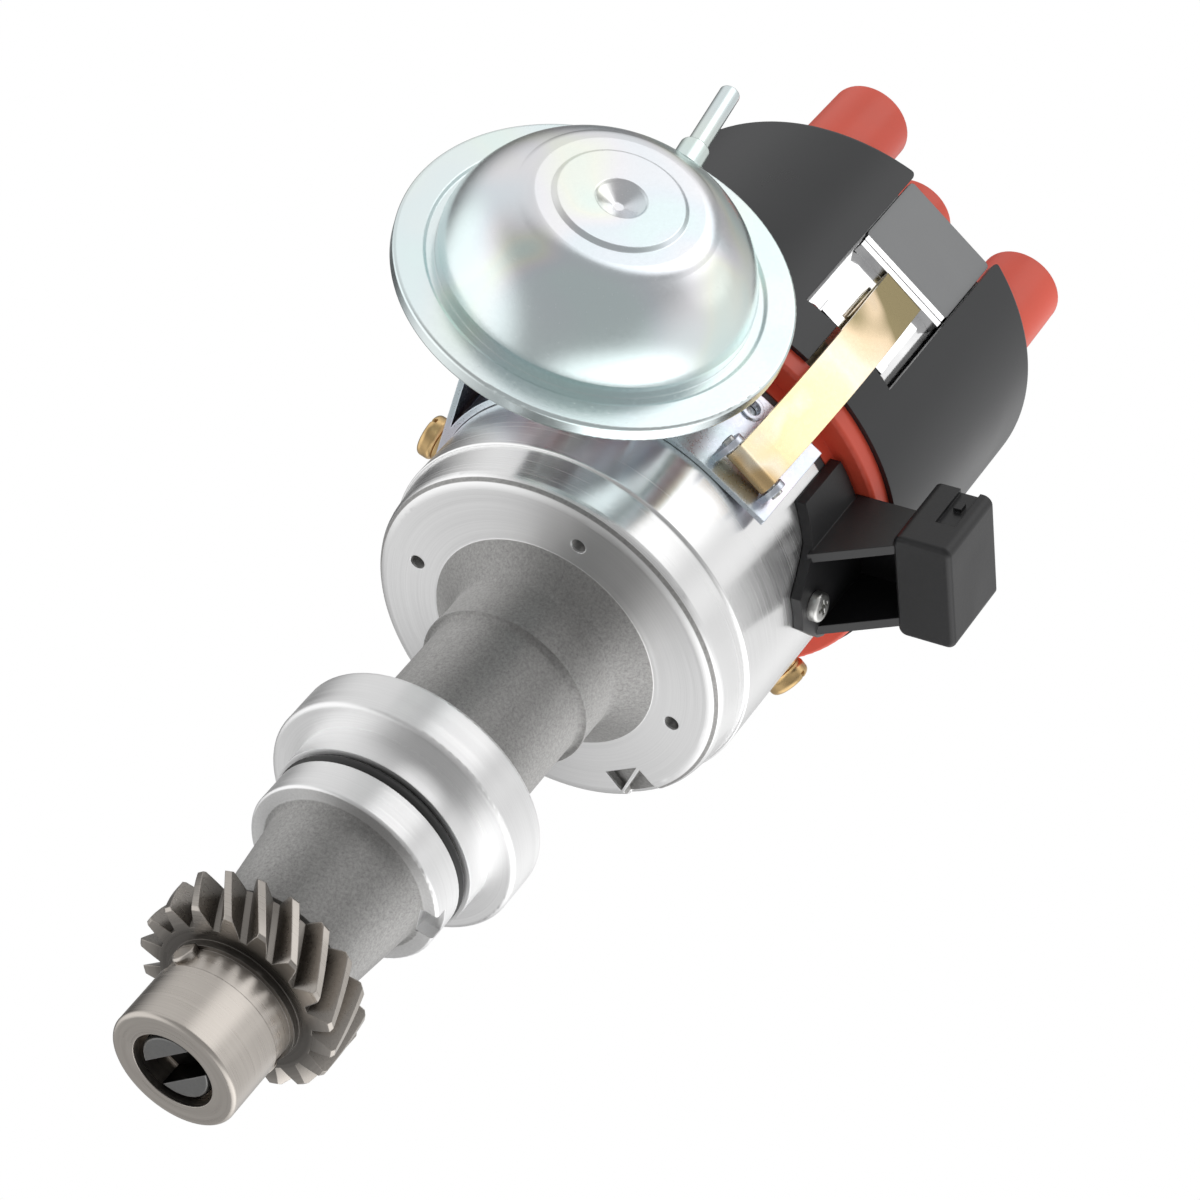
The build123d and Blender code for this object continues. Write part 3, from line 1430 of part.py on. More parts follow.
# Sheet bracket: a saddle round the bowl, a boxed strip that stands the can off, and the front clip's ears
saddle_radius = bowl_radius + bracket_clearance + bracket_sheet / 2
bracket_face = saddle_radius + bracket_sheet / 2
strip_front = can_back + bracket_sheet / 2
wall_root = -sqrt(saddle_radius**2 - bracket_wall_x**2)
with BuildPart() as vacuum_bracket:
    with BuildSketch(Plane.XY.offset(bracket_low)) as plan:
        with BuildLine():
            FilletPolyline(
                (-saddle_radius, bracket_tail),
                (-saddle_radius, strip_front),
                (bracket_wall_x - 1, strip_front),
                (bracket_wall_x, wall_root),
                radius=bracket_bend,
            )
        trace(line_width=bracket_sheet)
        with BuildLine():
            CenterArc((0, 0), saddle_radius, 180, 180 + bracket_flat_azimuth)
        trace(line_width=bracket_sheet)
        with BuildLine():
            start = Vector(*polar(saddle_radius, bracket_flat_azimuth))
            aside = Vector(*polar(1, bracket_flat_azimuth + 90))
            Line(start, start + aside * bracket_flat_length)
        trace(line_width=bracket_sheet)
    extrude(amount=bracket_top - bracket_low)
    with BuildSketch(Plane.XZ.offset(-can_back + 1)):
        with Locations((can_x, can_z)):
            Circle(guide_radius)
    extrude(amount=can_back + rod_window_near, mode=Mode.SUBTRACT)
    with BuildSketch(facing(bracket_screw_azimuth, bowl_radius)):
        with Locations((0, bracket_screw_height)):
            Circle(screw_radius + screw_clearance)
    extrude(amount=3, mode=Mode.SUBTRACT)
    with BuildSketch(facing(bracket_flat_azimuth, bracket_face - bracket_sheet)):
        with Locations((tab_side, bracket_top - 1)):
            Rectangle(tab_width, tab_height + 1, align=(Align.CENTER, Align.MIN))
    extrude(amount=bracket_sheet)
    with BuildSketch(facing(bracket_flat_azimuth, bracket_face)):
        with Locations((eyelet_side, bracket_top - eyelet_drop)):
            Circle(eyelet_rim_radius)
    extrude(amount=eyelet_rim_height)
    with BuildSketch(facing(bracket_flat_azimuth, bowl_radius)):
        with Locations((eyelet_side, bracket_top - eyelet_drop)):
            Circle(eyelet_radius)
    extrude(amount=3, mode=Mode.SUBTRACT)
    add(clip_ears(front_azimuth))
vacuum_bracket.part.label = "vacuum_bracket"
export_step(vacuum_bracket.part, "parts/vacuum_bracket.step")

# Rear clip's bracket, riveted to the bowl
with BuildPart() as rear_clip_bracket:
    with BuildSketch(facing(rear_azimuth, bowl_radius + bracket_clearance)) as plate:
        with Locations((0, (bracket_low + rear_bracket_top) / 2)):
            Rectangle(2 * rear_bracket_half, rear_bracket_top - bracket_low)
        fillet(plate.vertices(), rear_bracket_corner)
        with Locations((rivet_side, rivet_height), (-rivet_side, rivet_height)):
            Circle(rivet_radius, mode=Mode.SUBTRACT)
    extrude(amount=bracket_sheet)
    add(clip_ears(rear_azimuth))
rear_clip_bracket.part.label = "rear_clip_bracket"
export_step(rear_clip_bracket.part, "parts/rear_clip_bracket.step")

with BuildPart() as bracket_rivets:
    for side in (-rivet_side, rivet_side):
        with BuildSketch(facing(rear_azimuth, bowl_inside - rivet_tail)):
            with Locations((side, rivet_height)):
                Circle(rivet_radius)
        extrude(amount=bracket_face - bowl_inside + rivet_tail)
        with BuildSketch(facing(rear_azimuth, bracket_face)):
            with Locations((side, rivet_height)):
                Circle(rivet_head_radius)
        extrude(amount=rivet_head_height)
bracket_rivets.part.label = "bracket_rivets"
export_step(bracket_rivets.part, "parts/bracket_rivets.step")

# Screws with lock washers
seats = (
    (bracket_screw_azimuth, bracket_screw_height, bracket_face),
    (plate_screw_azimuth, plate_screw_height, bowl_radius + fit),
)
with BuildPart() as lock_washers:
    for azimuth, height, seat in seats:
        with BuildSketch(facing(azimuth, seat)):
            with Locations((0, height)):
                Circle(lock_washer_radius)
                Circle(screw_radius + fit, mode=Mode.SUBTRACT)
            with Locations((lock_washer_radius, height)):
                Rectangle(
                    2 * lock_washer_radius,
                    lock_washer_split,
                    rotation=lock_washer_slant,
                    mode=Mode.SUBTRACT,
                )
        extrude(amount=lock_washer_thickness)
lock_washers.part.label = "lock_washers"
export_step(lock_washers.part, "parts/lock_washers.step")

with BuildPart() as plate_screws:
    for azimuth, height, seat in seats:
        head_low = seat + lock_washer_thickness
        with BuildSketch(facing(azimuth, head_low)):
            with Locations((0, height)):
                Circle(screw_head_radius)
        extrude(amount=screw_head_height)
        with BuildSketch(facing(azimuth, ear_distance - screw_tail)):
            with Locations((0, height)):
                Circle(screw_radius)
        extrude(amount=head_low - ear_distance + screw_tail)
    fillet(plate_screws.edges().filter_by(GeomType.CIRCLE).group_by(SortBy.RADIUS)[-1], screw_crown)
    for azimuth, height, seat in seats:
        top = seat + lock_washer_thickness + screw_head_height
        with BuildSketch(facing(azimuth, top)):
            with Locations((0, height)):
                Rectangle(3 * screw_head_radius, screw_slot)
        extrude(amount=-screw_slot_depth, mode=Mode.SUBTRACT)
plate_screws.part.label = "plate_screws"
export_step(plate_screws.part, "parts/plate_screws.step")

# Vacuum can, turned about an axis along Y
can_plane = Plane(origin=(can_x, 0, can_z))
can_axis = Axis((can_x, 0, can_z), (0, 1, 0))
flange_back = can_front + can_sheet
diaphragm_back = flange_back + diaphragm_thickness
rear_flange_back = diaphragm_back + can_sheet
crimp_radius = can_rim_radius - can_sheet
wave_outer = dome_radius - wave_set_in
wave_inner = wave_outer - wave_width


def dome_profile(skin):
    """Half outline of the dome, drawn this far inside its outer surface, closed at the rim's plane."""
    with BuildLine() as line:
        Polyline(
            (0, dome_front + dimple_depth + skin),
            (dimple_floor_radius, dome_front + dimple_depth + skin),
            (dimple_wall_radius - skin / 2, dome_front + dimple_wall_depth + skin),
            (dimple_rim_radius, dome_front + skin),
            (dome_face_radius, dome_front + skin),
            (dome_step_radius, dome_front + dome_shelf_depth + skin),
            (dome_shelf_radius, dome_front + dome_shelf_depth + skin),
        )
        ThreePointArc(
            (dome_shelf_radius, dome_front + dome_shelf_depth + skin),
            (dome_turn_radius - skin / 3, dome_front + dome_turn_depth + skin),
            (dome_shoulder_radius - skin / 2, dome_front + dome_shoulder_depth + skin),
        )
        ThreePointArc(
            (dome_shoulder_radius - skin / 2, dome_front + dome_shoulder_depth + skin),
            (dome_bulge_radius - skin, can_front - dome_bulge_depth + skin / 2),
            (dome_radius - skin, can_front - dome_foot),
        )
        Polyline(
            (dome_radius - skin, can_front - dome_foot),
            (dome_radius - skin, can_front + 2),
            (0, can_front + 2),
            (0, dome_front + dimple_depth + skin),
        )
    return line


with BuildPart() as vacuum_front_shell:
    with BuildSketch(can_plane):
        add(dome_profile(0).line)
        make_face()
    revolve(axis=can_axis)
    # rim: a shallow step, a flat flange and the crimp folded over the rear shell's flange
    with BuildSketch(can_plane) as section:
        with BuildLine():
            Polyline(
                (dome_radius - can_sheet, can_front + rim_step_depth),
                (dome_radius + rim_step_start, can_front + rim_step_depth),
                (dome_radius + rim_step_end, can_front),
                (can_rim_radius, can_front),
                (can_rim_radius, rear_flange_back + can_sheet),
                (crimp_radius - crimp_width, rear_flange_back + can_sheet),
                (crimp_radius - crimp_width, rear_flange_back),
                (crimp_radius, rear_flange_back),
                (crimp_radius, flange_back),
                (dome_radius - can_sheet, flange_back),
                close=True,
            )
        make_face()
        fillet(corners(section, (can_rim_radius, can_front)), crimp_edge)
        fillet(corners(section, (can_rim_radius, rear_flange_back + can_sheet)), crimp_edge)
    revolve(axis=can_axis)
    with BuildSketch(can_plane):
        add(dome_profile(can_sheet).line)
        make_face()
    revolve(axis=can_axis, mode=Mode.SUBTRACT)
    with BuildSketch(can_plane):
        Polygon(
            (0, flange_back),
            (crimp_radius - crimp_width, flange_back),
            (crimp_radius - crimp_width, rear_flange_back + can_sheet),
            (0, rear_flange_back + can_sheet),
            align=None,
        )
    revolve(axis=can_axis, mode=Mode.SUBTRACT)
    nipple_plane = Plane(
        origin=(can_x + nipple_side, can_front - nipple_lead, can_z + nipple_rise),
        x_dir=(cos(radians(nipple_tilt)), 0, sin(radians(nipple_tilt))),
        z_dir=(-sin(radians(nipple_tilt)), 0, cos(radians(nipple_tilt))),
    )
    with BuildSketch(nipple_plane):
        Circle(nipple_bore)
    extrude(amount=12, mode=Mode.SUBTRACT)
vacuum_front_shell.part.label = "vacuum_front_shell"
export_step(vacuum_front_shell.part, "parts/vacuum_front_shell.step")

with BuildPart() as hose_nipple:
    with BuildSketch(nipple_plane):
        Circle(nipple_radius)
    extrude(amount=nipple_length / cos(radians(nipple_tilt)))
    with BuildSketch(nipple_plane):
        Circle(nipple_collar_radius)
    extrude(amount=nipple_collar_length)
    with BuildSketch(nipple_plane):
        Circle(nipple_bore)
    extrude(amount=nipple_length + cut_over, mode=Mode.SUBTRACT)
    with BuildSketch(can_plane):
        add(dome_profile(0).line)
        make_face()
    revolve(axis=can_axis, mode=Mode.SUBTRACT)
hose_nipple.part.label = "hose_nipple"
export_step(hose_nipple.part, "parts/hose_nipple.step")

with BuildPart() as vacuum_rear_shell:
    with BuildSketch(can_plane) as section:
        with BuildLine():
            Polyline(
                (guide_radius, can_back),
                (can_back_radius, can_back),
                (can_cup_radius, rear_flange_back),
                (crimp_radius, rear_flange_back),
                (crimp_radius, diaphragm_back),
                (can_cup_radius - can_sheet / 2, diaphragm_back),
                (can_back_radius - can_sheet / 2, can_back - can_sheet),
                (guide_radius, can_back - can_sheet),
                close=True,
            )
        make_face()
    revolve(axis=can_axis)
vacuum_rear_shell.part.label = "vacuum_rear_shell"
export_step(vacuum_rear_shell.part, "parts/vacuum_rear_shell.step")

# Diaphragm: clamped at its edge, with one convolution and a flat centre
diaphragm_middle = flange_back + diaphragm_thickness / 2
with BuildPart() as diaphragm:
    with BuildSketch(can_plane):
        with BuildLine():
            Line((crimp_radius, diaphragm_middle), (wave_outer, diaphragm_middle))
            ThreePointArc(
                (wave_outer, diaphragm_middle),
                ((wave_outer + wave_inner) / 2, diaphragm_middle - wave_height),
                (wave_inner, diaphragm_middle),
            )
            Line((wave_inner, diaphragm_middle), (rod_pin_radius, diaphragm_middle))
        trace(line_width=diaphragm_thickness)
    revolve(axis=can_axis)
diaphragm.part.label = "diaphragm"
export_step(diaphragm.part, "parts/diaphragm.step")

# Pull rod: an eye round the plate's pin, a flat bar and the two discs that grip the diaphragm
with BuildPart() as pull_rod:
    with BuildSketch(Plane.XY.offset(rod_low)):
        with Locations((can_x, rod_pin_lead)):
            Circle(rod_eye_radius)
        with Locations((can_x, (rod_pin_lead + diaphragm_back) / 2)):
            Rectangle(rod_width, rod_pin_lead - diaphragm_back)
        with Locations((can_x, rod_pin_lead)):
            Circle(rod_pin_radius + rod_eye_clearance, mode=Mode.SUBTRACT)
    extrude(amount=rod_thickness)
    with BuildSketch(Plane.XZ.offset(-diaphragm_back)):
        with Locations((can_x, can_z)):
            Circle(diaphragm_plate_radius)
    extrude(amount=-can_sheet)
    with BuildSketch(Plane.XZ.offset(-diaphragm_back)):
        with Locations((can_x, can_z)):
            Circle(rod_pin_radius)
    extrude(amount=diaphragm_thickness)
    with BuildSketch(Plane.XZ.offset(-flange_back)):
        with Locations((can_x, can_z)):
            Circle(diaphragm_plate_radius)
    extrude(amount=can_sheet)
pull_rod.part.label = "pull_rod"
export_step(pull_rod.part, "parts/pull_rod.step")

with BuildPart() as vacuum_spring:
    spring_start = flange_back - can_sheet - vacuum_spring_wire - spring_contact
    spring_stop = dome_front + can_sheet + vacuum_spring_wire + spring_contact
    with BuildLine() as coil:
        Helix(
            (spring_start - spring_stop) / vacuum_spring_turns,
            spring_start - spring_stop,
            vacuum_spring_radius,
            center=(can_x, spring_start, can_z),
            direction=(0, -1, 0),
        )
    with BuildSketch(Plane(origin=coil.line @ 0, z_dir=coil.line % 0)):
        Circle(vacuum_spring_wire)
    sweep(path=coil.line, is_frenet=True)
vacuum_spring.part.label = "vacuum_spring"
export_step(vacuum_spring.part, "parts/vacuum_spring.step")

# Connector: a foot curved to the bowl, two arms with a web, and the socket
pad_low = bowl_top + min(rise for side, rise in pad_outline)
pad_high = bowl_top + max(rise for side, rise in pad_outline)
connector_middle = (connector_near + connector_far) / 2


def connector_block():
    """The connector's body with rounded edges, before its socket is cut."""
    with BuildPart() as body:
        with BuildSketch(Plane.XY.offset(connector_low).rotated((0, 0, connector_azimuth))) as block:
            with Locations((connector_middle, 0)):
                Rectangle(connector_depth, connector_width)
            fillet(block.vertices(), connector_corner)
        extrude(amount=connector_height)
        fillet(body.faces().sort_by(Axis.Z)[0].edges(), connector_edge)
    return body.part


with BuildPart() as hall_connector:
    with BuildSketch(Plane.XY.offset(pad_low)):
        Circle(pad_outer)
        Circle(pad_inner, mode=Mode.SUBTRACT)
    extrude(amount=pad_high - pad_low)
    with BuildSketch(facing(connector_azimuth, 0)):
        Polygon(*[(side, bowl_top + rise) for side, rise in pad_outline], align=None)
    extrude(amount=pad_outer + 1, mode=Mode.INTERSECT)
    for side in (arm_spread - arm_thickness / 2, -arm_spread - arm_thickness / 2):
        with BuildSketch(upright(connector_azimuth).offset(side)):
            Polygon(
                (pad_outer - arm_root_depth, arm_root_low),
                (connector_near + arm_set_in, connector_low + arm_rise),
                (connector_near + arm_set_in, arm_top),
                (pad_outer - arm_root_depth, arm_top),
                align=None,
            )
        extrude(amount=arm_thickness)
    with BuildSketch(Plane.XY.offset(arm_top).rotated((0, 0, connector_azimuth))):
        with Locations(((pad_outer + connector_near - 1) / 2, 0)):
            Rectangle(connector_near - pad_outer + 2.4, 2 * arm_spread)
    extrude(amount=-web_thickness)
    add(connector_block())
    floor_level = connector_low + connector_floor
    with BuildSketch(Plane.XY.offset(floor_level).rotated((0, 0, connector_azimuth))):
        with Locations((connector_middle, 0)):
            Rectangle(
                connector_far - connector_near - 2 * connector_wall, connector_width - 2 * connector_wall
            )
    extrude(amount=connector_high - floor_level, mode=Mode.SUBTRACT)
    # latch: a recess open at the socket's mouth, with a small tab on its floor
    latch_middle = connector_near + latch_set_in + latch_width / 2
    with BuildSketch(upright(connector_azimuth).offset(connector_width / 2)):
        with Locations((latch_middle, connector_high - latch_height)):
            Rectangle(latch_width, latch_height + 1, align=(Align.CENTER, Align.MIN))
    extrude(amount=-latch_depth, mode=Mode.SUBTRACT)
    with BuildSketch(upright(connector_azimuth).offset(connector_width / 2 - latch_depth)):
        with Locations((latch_middle, connector_high - latch_tab_rise)):
            Rectangle(latch_tab_width, latch_tab_height)
    extrude(amount=latch_depth)
    with BuildSketch(facing(connector_screw_azimuth, pad_inner - cut_over)):
        with Locations((0, connector_screw_height)):
            Circle(connector_screw_radius + fit)
    extrude(amount=pad_thickness + 2 * cut_over, mode=Mode.SUBTRACT)
hall_connector.part.label = "hall_connector"
export_step(hall_connector.part, "parts/hall_connector.step")

with BuildPart() as connector_pins:
    with BuildSketch(Plane.XY.offset(floor_level).rotated((0, 0, connector_azimuth))):
        with Locations((connector_middle, 0)):
            with GridLocations(1, blade_pitch, 1, 3):
                Rectangle(blade_thickness, blade_width)
    extrude(amount=blade_top - floor_level)
connector_pins.part.label = "connector_pins"
export_step(connector_pins.part, "parts/connector_pins.step")

with BuildPart() as connector_screw:
    with BuildSketch(facing(connector_screw_azimuth, pad_outer)):
        with Locations((0, connector_screw_height)):
            Circle(connector_screw_head)
    extrude(amount=connector_screw_head_height)
    head_face = connector_screw.faces().filter_by(GeomType.PLANE).sort_by_distance((0, 0, 0))[-1]
    fillet(head_face.edges(), connector_screw_crown)
    with BuildSketch(facing(connector_screw_azimuth, bowl_inside + 0.5)):
        with Locations((0, connector_screw_height)):
            Circle(connector_screw_radius)
    extrude(amount=pad_outer - bowl_inside - 0.5)
    with BuildSketch(facing(connector_screw_azimuth, pad_outer + connector_screw_head_height)):
        with Locations((0, connector_screw_height)):
            Rectangle(cross_length, cross_width)
            Rectangle(cross_width, cross_length)
    extrude(amount=-cross_depth, mode=Mode.SUBTRACT)
connector_screw.part.label = "connector_screw"
export_step(connector_screw.part, "parts/connector_screw.step")
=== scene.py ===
# %% [markdown]
# # Dressing an ignition distributor
#
# An ignition distributor stands on an engine, which turns its shaft through the helical gear at
# its foot. A rotor under the red cap then hands each spark to the right lead. The CAD model of it
# comes as a fixed frame: every piece is in place already, in metres. The origin is the centre of
# the collar's lower face, +Z runs up the shaft to the cap, and the vacuum can faces -Y.
#
# This script adds no shape to the part. It adds what CAD lacks: the finishes of its metals and
# plastics, a studio with light and floor, and a camera.

# %% Load the frame
import math

import bpy
from mathutils import Matrix, Vector


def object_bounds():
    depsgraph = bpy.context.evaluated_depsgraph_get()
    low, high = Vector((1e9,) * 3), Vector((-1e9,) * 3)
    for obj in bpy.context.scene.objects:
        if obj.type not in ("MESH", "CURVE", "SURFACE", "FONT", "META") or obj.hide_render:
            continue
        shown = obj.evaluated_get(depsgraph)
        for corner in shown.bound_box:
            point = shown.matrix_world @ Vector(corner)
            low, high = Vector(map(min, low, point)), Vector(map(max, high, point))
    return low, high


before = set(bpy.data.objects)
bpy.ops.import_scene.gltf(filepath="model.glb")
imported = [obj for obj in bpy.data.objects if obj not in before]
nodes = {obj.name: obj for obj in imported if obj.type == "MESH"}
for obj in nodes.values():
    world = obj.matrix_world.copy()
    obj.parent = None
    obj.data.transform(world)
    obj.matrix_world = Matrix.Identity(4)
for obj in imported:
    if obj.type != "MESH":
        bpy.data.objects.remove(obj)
cad_low, cad_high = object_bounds()
scene = bpy.context.scene
MM = 0.001
MM_IN_METRE = 1000

# %% [markdown]
# ## Camera
#
# The photograph looks up at the part from below the collar, through a long lens, so the sides of
# the cap hardly converge. A camera can be turned by angles, or made to follow a target by a
# constraint. Here its three directions are written down in the model's own frame, because the
# matrix that they make sets the aim and the roll at once, with no order of turns to think about.

# %% Place the camera
CAMERA_RIGHT = Vector((0.83252, -0.22977, 0.50409))
CAMERA_UP = Vector((-0.52515, -0.61705, 0.58606))
CAMERA_FORWARD = Vector((-0.17639, 0.75263, 0.63438))
CAMERA_PLACE = Vector((0.133806, -0.558659, -0.403132))
LENS = 120  # mm
FILM_WIDTH = 36  # mm
NEAREST, FARTHEST = 0.05, 20  # metres that the camera sees

camera_data = bpy.data.cameras.new("camera")
camera_data.lens = LENS
camera_data.sensor_width = FILM_WIDTH
camera_data.clip_start = NEAREST
camera_data.clip_end = FARTHEST
camera = bpy.data.objects.new("camera", camera_data)
scene.collection.objects.link(camera)
turn = Matrix((CAMERA_RIGHT, CAMERA_UP, -CAMERA_FORWARD)).transposed()
camera.matrix_world = Matrix.Translation(CAMERA_PLACE) @ turn.to_4x4()
scene.camera = camera
print("camera at", tuple(round(value, 3) for value in camera.location))

# %% [markdown]
# ## Short ways to wire a material
#
# A material is a tree of nodes with links between their sockets. It can be wired by hand in the
# Shader Editor. A script can do the same, but it takes three lines for each node: add it, set it,
# link it. One helper does all three here: an input that is given a socket is linked, and an input
# that is given a number or a colour is set. So the rest of the script reads like arithmetic.


# %% Add one node
def fill(tree, socket, value):
    """Links a socket to another socket, or sets it to a plain value."""
    if isinstance(value, bpy.types.NodeSocket):
        tree.links.new(value, socket)
    else:
        socket.default_value = value


def node(tree, kind, inputs=None, **settings):
    """Adds a shader node to a tree, and fills its settings and inputs."""
    made = tree.nodes.new("ShaderNode" + kind)
    for name, value in settings.items():
        setattr(made, name, value)
    for name, value in (inputs or {}).items():
        fill(tree, made.inputs[name], value)
    return made


# %% [markdown]
# Masks and heights are numbers that change over a surface. Each step on them is a node of its own,
# so a formula soon becomes a long chain. Short helpers keep it readable: sum, product, a change of
# range, and a mix of two numbers.


# %% Arithmetic and ranges
def math_node(tree, operation, first, second=0.0, clamp=False):
    """One step of arithmetic, and its result."""
    inputs = {0: first, 1: second}
    return node(tree, "Math", inputs, operation=operation, use_clamp=clamp).outputs[0]


def plus(tree, first, second, clamp=False):
    """The sum of two values."""
    return math_node(tree, "ADD", first, second, clamp)


def times(tree, first, second):
    """The product of two values."""
    return math_node(tree, "MULTIPLY", first, second)


def spread(tree, value, low, high, start=0.0, stop=1.0, shape="LINEAR"):
    """Maps a value that runs from start to stop onto low to high."""
    inputs = {"Value": value, "From Min": start, "From Max": stop, "To Min": low, "To Max": high}
    return node(tree, "MapRange", inputs, interpolation_type=shape).outputs["Result"]


def either(tree, factor, first, second):
    """Mixes two numbers: the first where the factor is 0, the second where it is 1."""
    return node(tree, "Mix", {0: factor, 2: first, 3: second}).outputs[0]


# %% [markdown]
# Colours come from two tools. A mix lays one colour over another by a mask. A ramp looks up a
# number in a row of colours, which suits a finish that passes through many tints in a fixed order.
# Blender's Mix node keeps its sockets for colours apart from those for numbers, at places 6 and 7.


# %% Mixes and ramps of colour
MIX_COLOUR_SOCKETS = (6, 7)


def mixed(tree, factor, first, second, blend="MIX"):
    """Mixes two colours, which may be sockets or plain colours."""
    made = node(tree, "Mix", {0: factor}, data_type="RGBA", blend_type=blend)
    for place, colour in zip(MIX_COLOUR_SOCKETS, (first, second)):
        plain = isinstance(colour, tuple)
        fill(tree, made.inputs[place], (*colour, 1) if plain else colour)
    return made.outputs[2]


def colour_ramp(tree, position, colours):
    """Looks up a position from 0 to 1 in a row of colours."""
    ramp = node(tree, "ValToRGB", {"Fac": position})
    stops = ramp.color_ramp.elements
    for index, (where, colour) in enumerate(colours):
        stop = stops[index] if index < 2 else stops.new(where)
        stop.position = where
        stop.color = (*colour, 1)
    return ramp.outputs["Color"]


# %% [markdown]
# ## Shared effects
#
# Several materials show the same effects, such as lathe lines or grain. Each effect is a node
# group with named inputs and outputs, built once and placed in each material with values of its
# own. The other way, to copy its nodes into every material, would leave many copies to mend later.
# A group gives out only colours, masks and values. The shaders stay in the materials.


# %% Start a node group and place it
def group(name, inputs, outputs):
    """Starts a node group. Returns its tree, its input sockets and its output node."""
    tree = bpy.data.node_groups.new(name, "ShaderNodeTree")
    for label, default in inputs.items():
        socket = tree.interface.new_socket(label, in_out="INPUT", socket_type="NodeSocketFloat")
        socket.default_value = default
    for label, kind in outputs.items():
        tree.interface.new_socket(label, in_out="OUTPUT", socket_type="NodeSocket" + kind)
    given = tree.nodes.new("NodeGroupInput").outputs
    return tree, given, tree.nodes.new("NodeGroupOutput")


def use(tree, made_group, **inputs):
    """Places a node group in a tree. Underscores in an input's name stand for spaces."""
    placed = node(tree, "Group", node_tree=made_group)
    for label, value in inputs.items():
        fill(tree, placed.inputs[label.replace("_", " ")], value)
    return placed.outputs


# %% [markdown]
# ### Where a point lies
#
# A turned part is finished in rings, so its materials need to know how far a point is from the
# shaft's axis and how high it is. A UV map could hold that, but it would have to be unwrapped for
# every piece. Object coordinates are enough here: each CAD piece has its origin at the frame's
# origin, so they are the model's own X, Y and Z. This group turns them into millimetres, and adds
# the radius from the axis and the turn about it.

# %% Place in millimetres
place_group, _, result = group(
    "place_in_millimetres",
    {},
    {"X": "Float", "Y": "Float", "Z": "Float", "Radius": "Float", "Turn": "Float"},
)
coordinates = node(place_group, "TexCoord").outputs["Object"]
parts = node(place_group, "SeparateXYZ", {0: coordinates}).outputs
for axis in "XYZ":
    fill(place_group, result.inputs[axis], times(place_group, parts[axis], MM_IN_METRE))
flat = node(place_group, "CombineXYZ", {"X": parts["X"], "Y": parts["Y"]}).outputs[0]
length = node(place_group, "VectorMath", {0: flat}, operation="LENGTH").outputs["Value"]
fill(place_group, result.inputs["Radius"], times(place_group, length, MM_IN_METRE))
turn_about_axis = math_node(place_group, "ARCTAN2", parts["Y"], parts["X"])
fill(place_group, result.inputs["Turn"], turn_about_axis)
print("group", place_group.name, "gives", [socket.name for socket in result.inputs][:-1])

# %% [markdown]
# ### Lathe lines
#
# A lathe tool leaves fine rings, a little uneven in depth. A wave texture would make them all
# alike. Noise does better when its space is squeezed: many changes per millimetre along the radius
# and the height, and few round the axis, so that each spot of noise becomes a long arc.

# %% Lathe lines
CHANGE_ROUND_AXIS = 0.6  # noise steps per radian of turn

lathe_group, given, result = group(
    "lathe_lines",
    {"Radius": 0.0, "Height": 0.0, "Turn": 0.0, "Lines per mm": 3.0},
    {"Lines": "Float"},
)
squeezed = node(
    lathe_group,
    "CombineXYZ",
    {
        "X": times(lathe_group, given["Radius"], given["Lines per mm"]),
        "Y": times(lathe_group, given["Height"], given["Lines per mm"]),
        "Z": times(lathe_group, given["Turn"], CHANGE_ROUND_AXIS),
    },
).outputs[0]
lines = node(lathe_group, "TexNoise", {"Vector": squeezed, "Scale": 1.0, "Detail": 3.0})
fill(lathe_group, result.inputs["Lines"], lines.outputs[0])


def lathe_lines(tree, spot, lines_per_mm):
    """Rings round the shaft's axis, in a tree that has a point's place."""
    place = {"Radius": spot["Radius"], "Height": spot["Z"], "Turn": spot["Turn"]}
    return use(tree, lathe_group, Lines_per_mm=lines_per_mm, **place)["Lines"]


print("group", lathe_group.name, "made")

# %% [markdown]
# ### Grain
#
# A casting that was blasted with grit, and a moulding from an etched tool, both have a fine uneven
# skin. Real displacement would need millions of faces for it. Noise gives it as a height for the
# relief and as a mask for the colour. One size of noise looks like a pattern, so the grain adds
# two: a fine one, and a coarse one about three times as large.

# %% Grain
COARSER = 0.33  # the coarse noise's scale as a share of the fine one's

grain_group, given, result = group("grain", {"Size in mm": 0.3}, {"Grain": "Float"})
spot = node(grain_group, "TexCoord").outputs["Object"]
sizes_of_noise = []
for scale_for_one_mm in (MM_IN_METRE, MM_IN_METRE * COARSER):
    scale = math_node(grain_group, "DIVIDE", scale_for_one_mm, given["Size in mm"])
    noise = node(grain_group, "TexNoise", {"Vector": spot, "Scale": scale, "Detail": 2.0})
    sizes_of_noise.append(noise.outputs[0])
both = plus(grain_group, *sizes_of_noise)
fill(grain_group, result.inputs["Grain"], times(grain_group, both, 0.5))


def grain_of(tree, size):
    """Grain of one size in millimetres."""
    return use(tree, grain_group, Size_in_mm=size)["Grain"]


print("group", grain_group.name, "adds", len(sizes_of_noise), "sizes of noise")

# %% [markdown]
# ### Clouds
#
# Plating, handling and storage leave slow changes of tone, some centimetres wide. A painted image
# could hold them, but it would need a UV map and would end at its last pixel. One large noise,
# bent by its own distortion, gives clouds of any size without an image.

# %% Clouds
NOISE_RANGE = (0.3, 0.7)  # nearly all of a noise lies between these values

cloud_group, given, result = group("clouds", {"Size in mm": 20.0}, {"Cloud": "Float"})
spot = node(cloud_group, "TexCoord").outputs["Object"]
scale = math_node(cloud_group, "DIVIDE", MM_IN_METRE, given["Size in mm"])
slow = {"Vector": spot, "Scale": scale, "Detail": 1.0, "Distortion": 0.6}
cloud = node(cloud_group, "TexNoise", slow).outputs[0]
fill(cloud_group, result.inputs["Cloud"], spread(cloud_group, cloud, 0, 1, *NOISE_RANGE))


def clouds_of(tree, size):
    """Clouds of one size in millimetres."""
    return use(tree, cloud_group, Size_in_mm=size)["Cloud"]


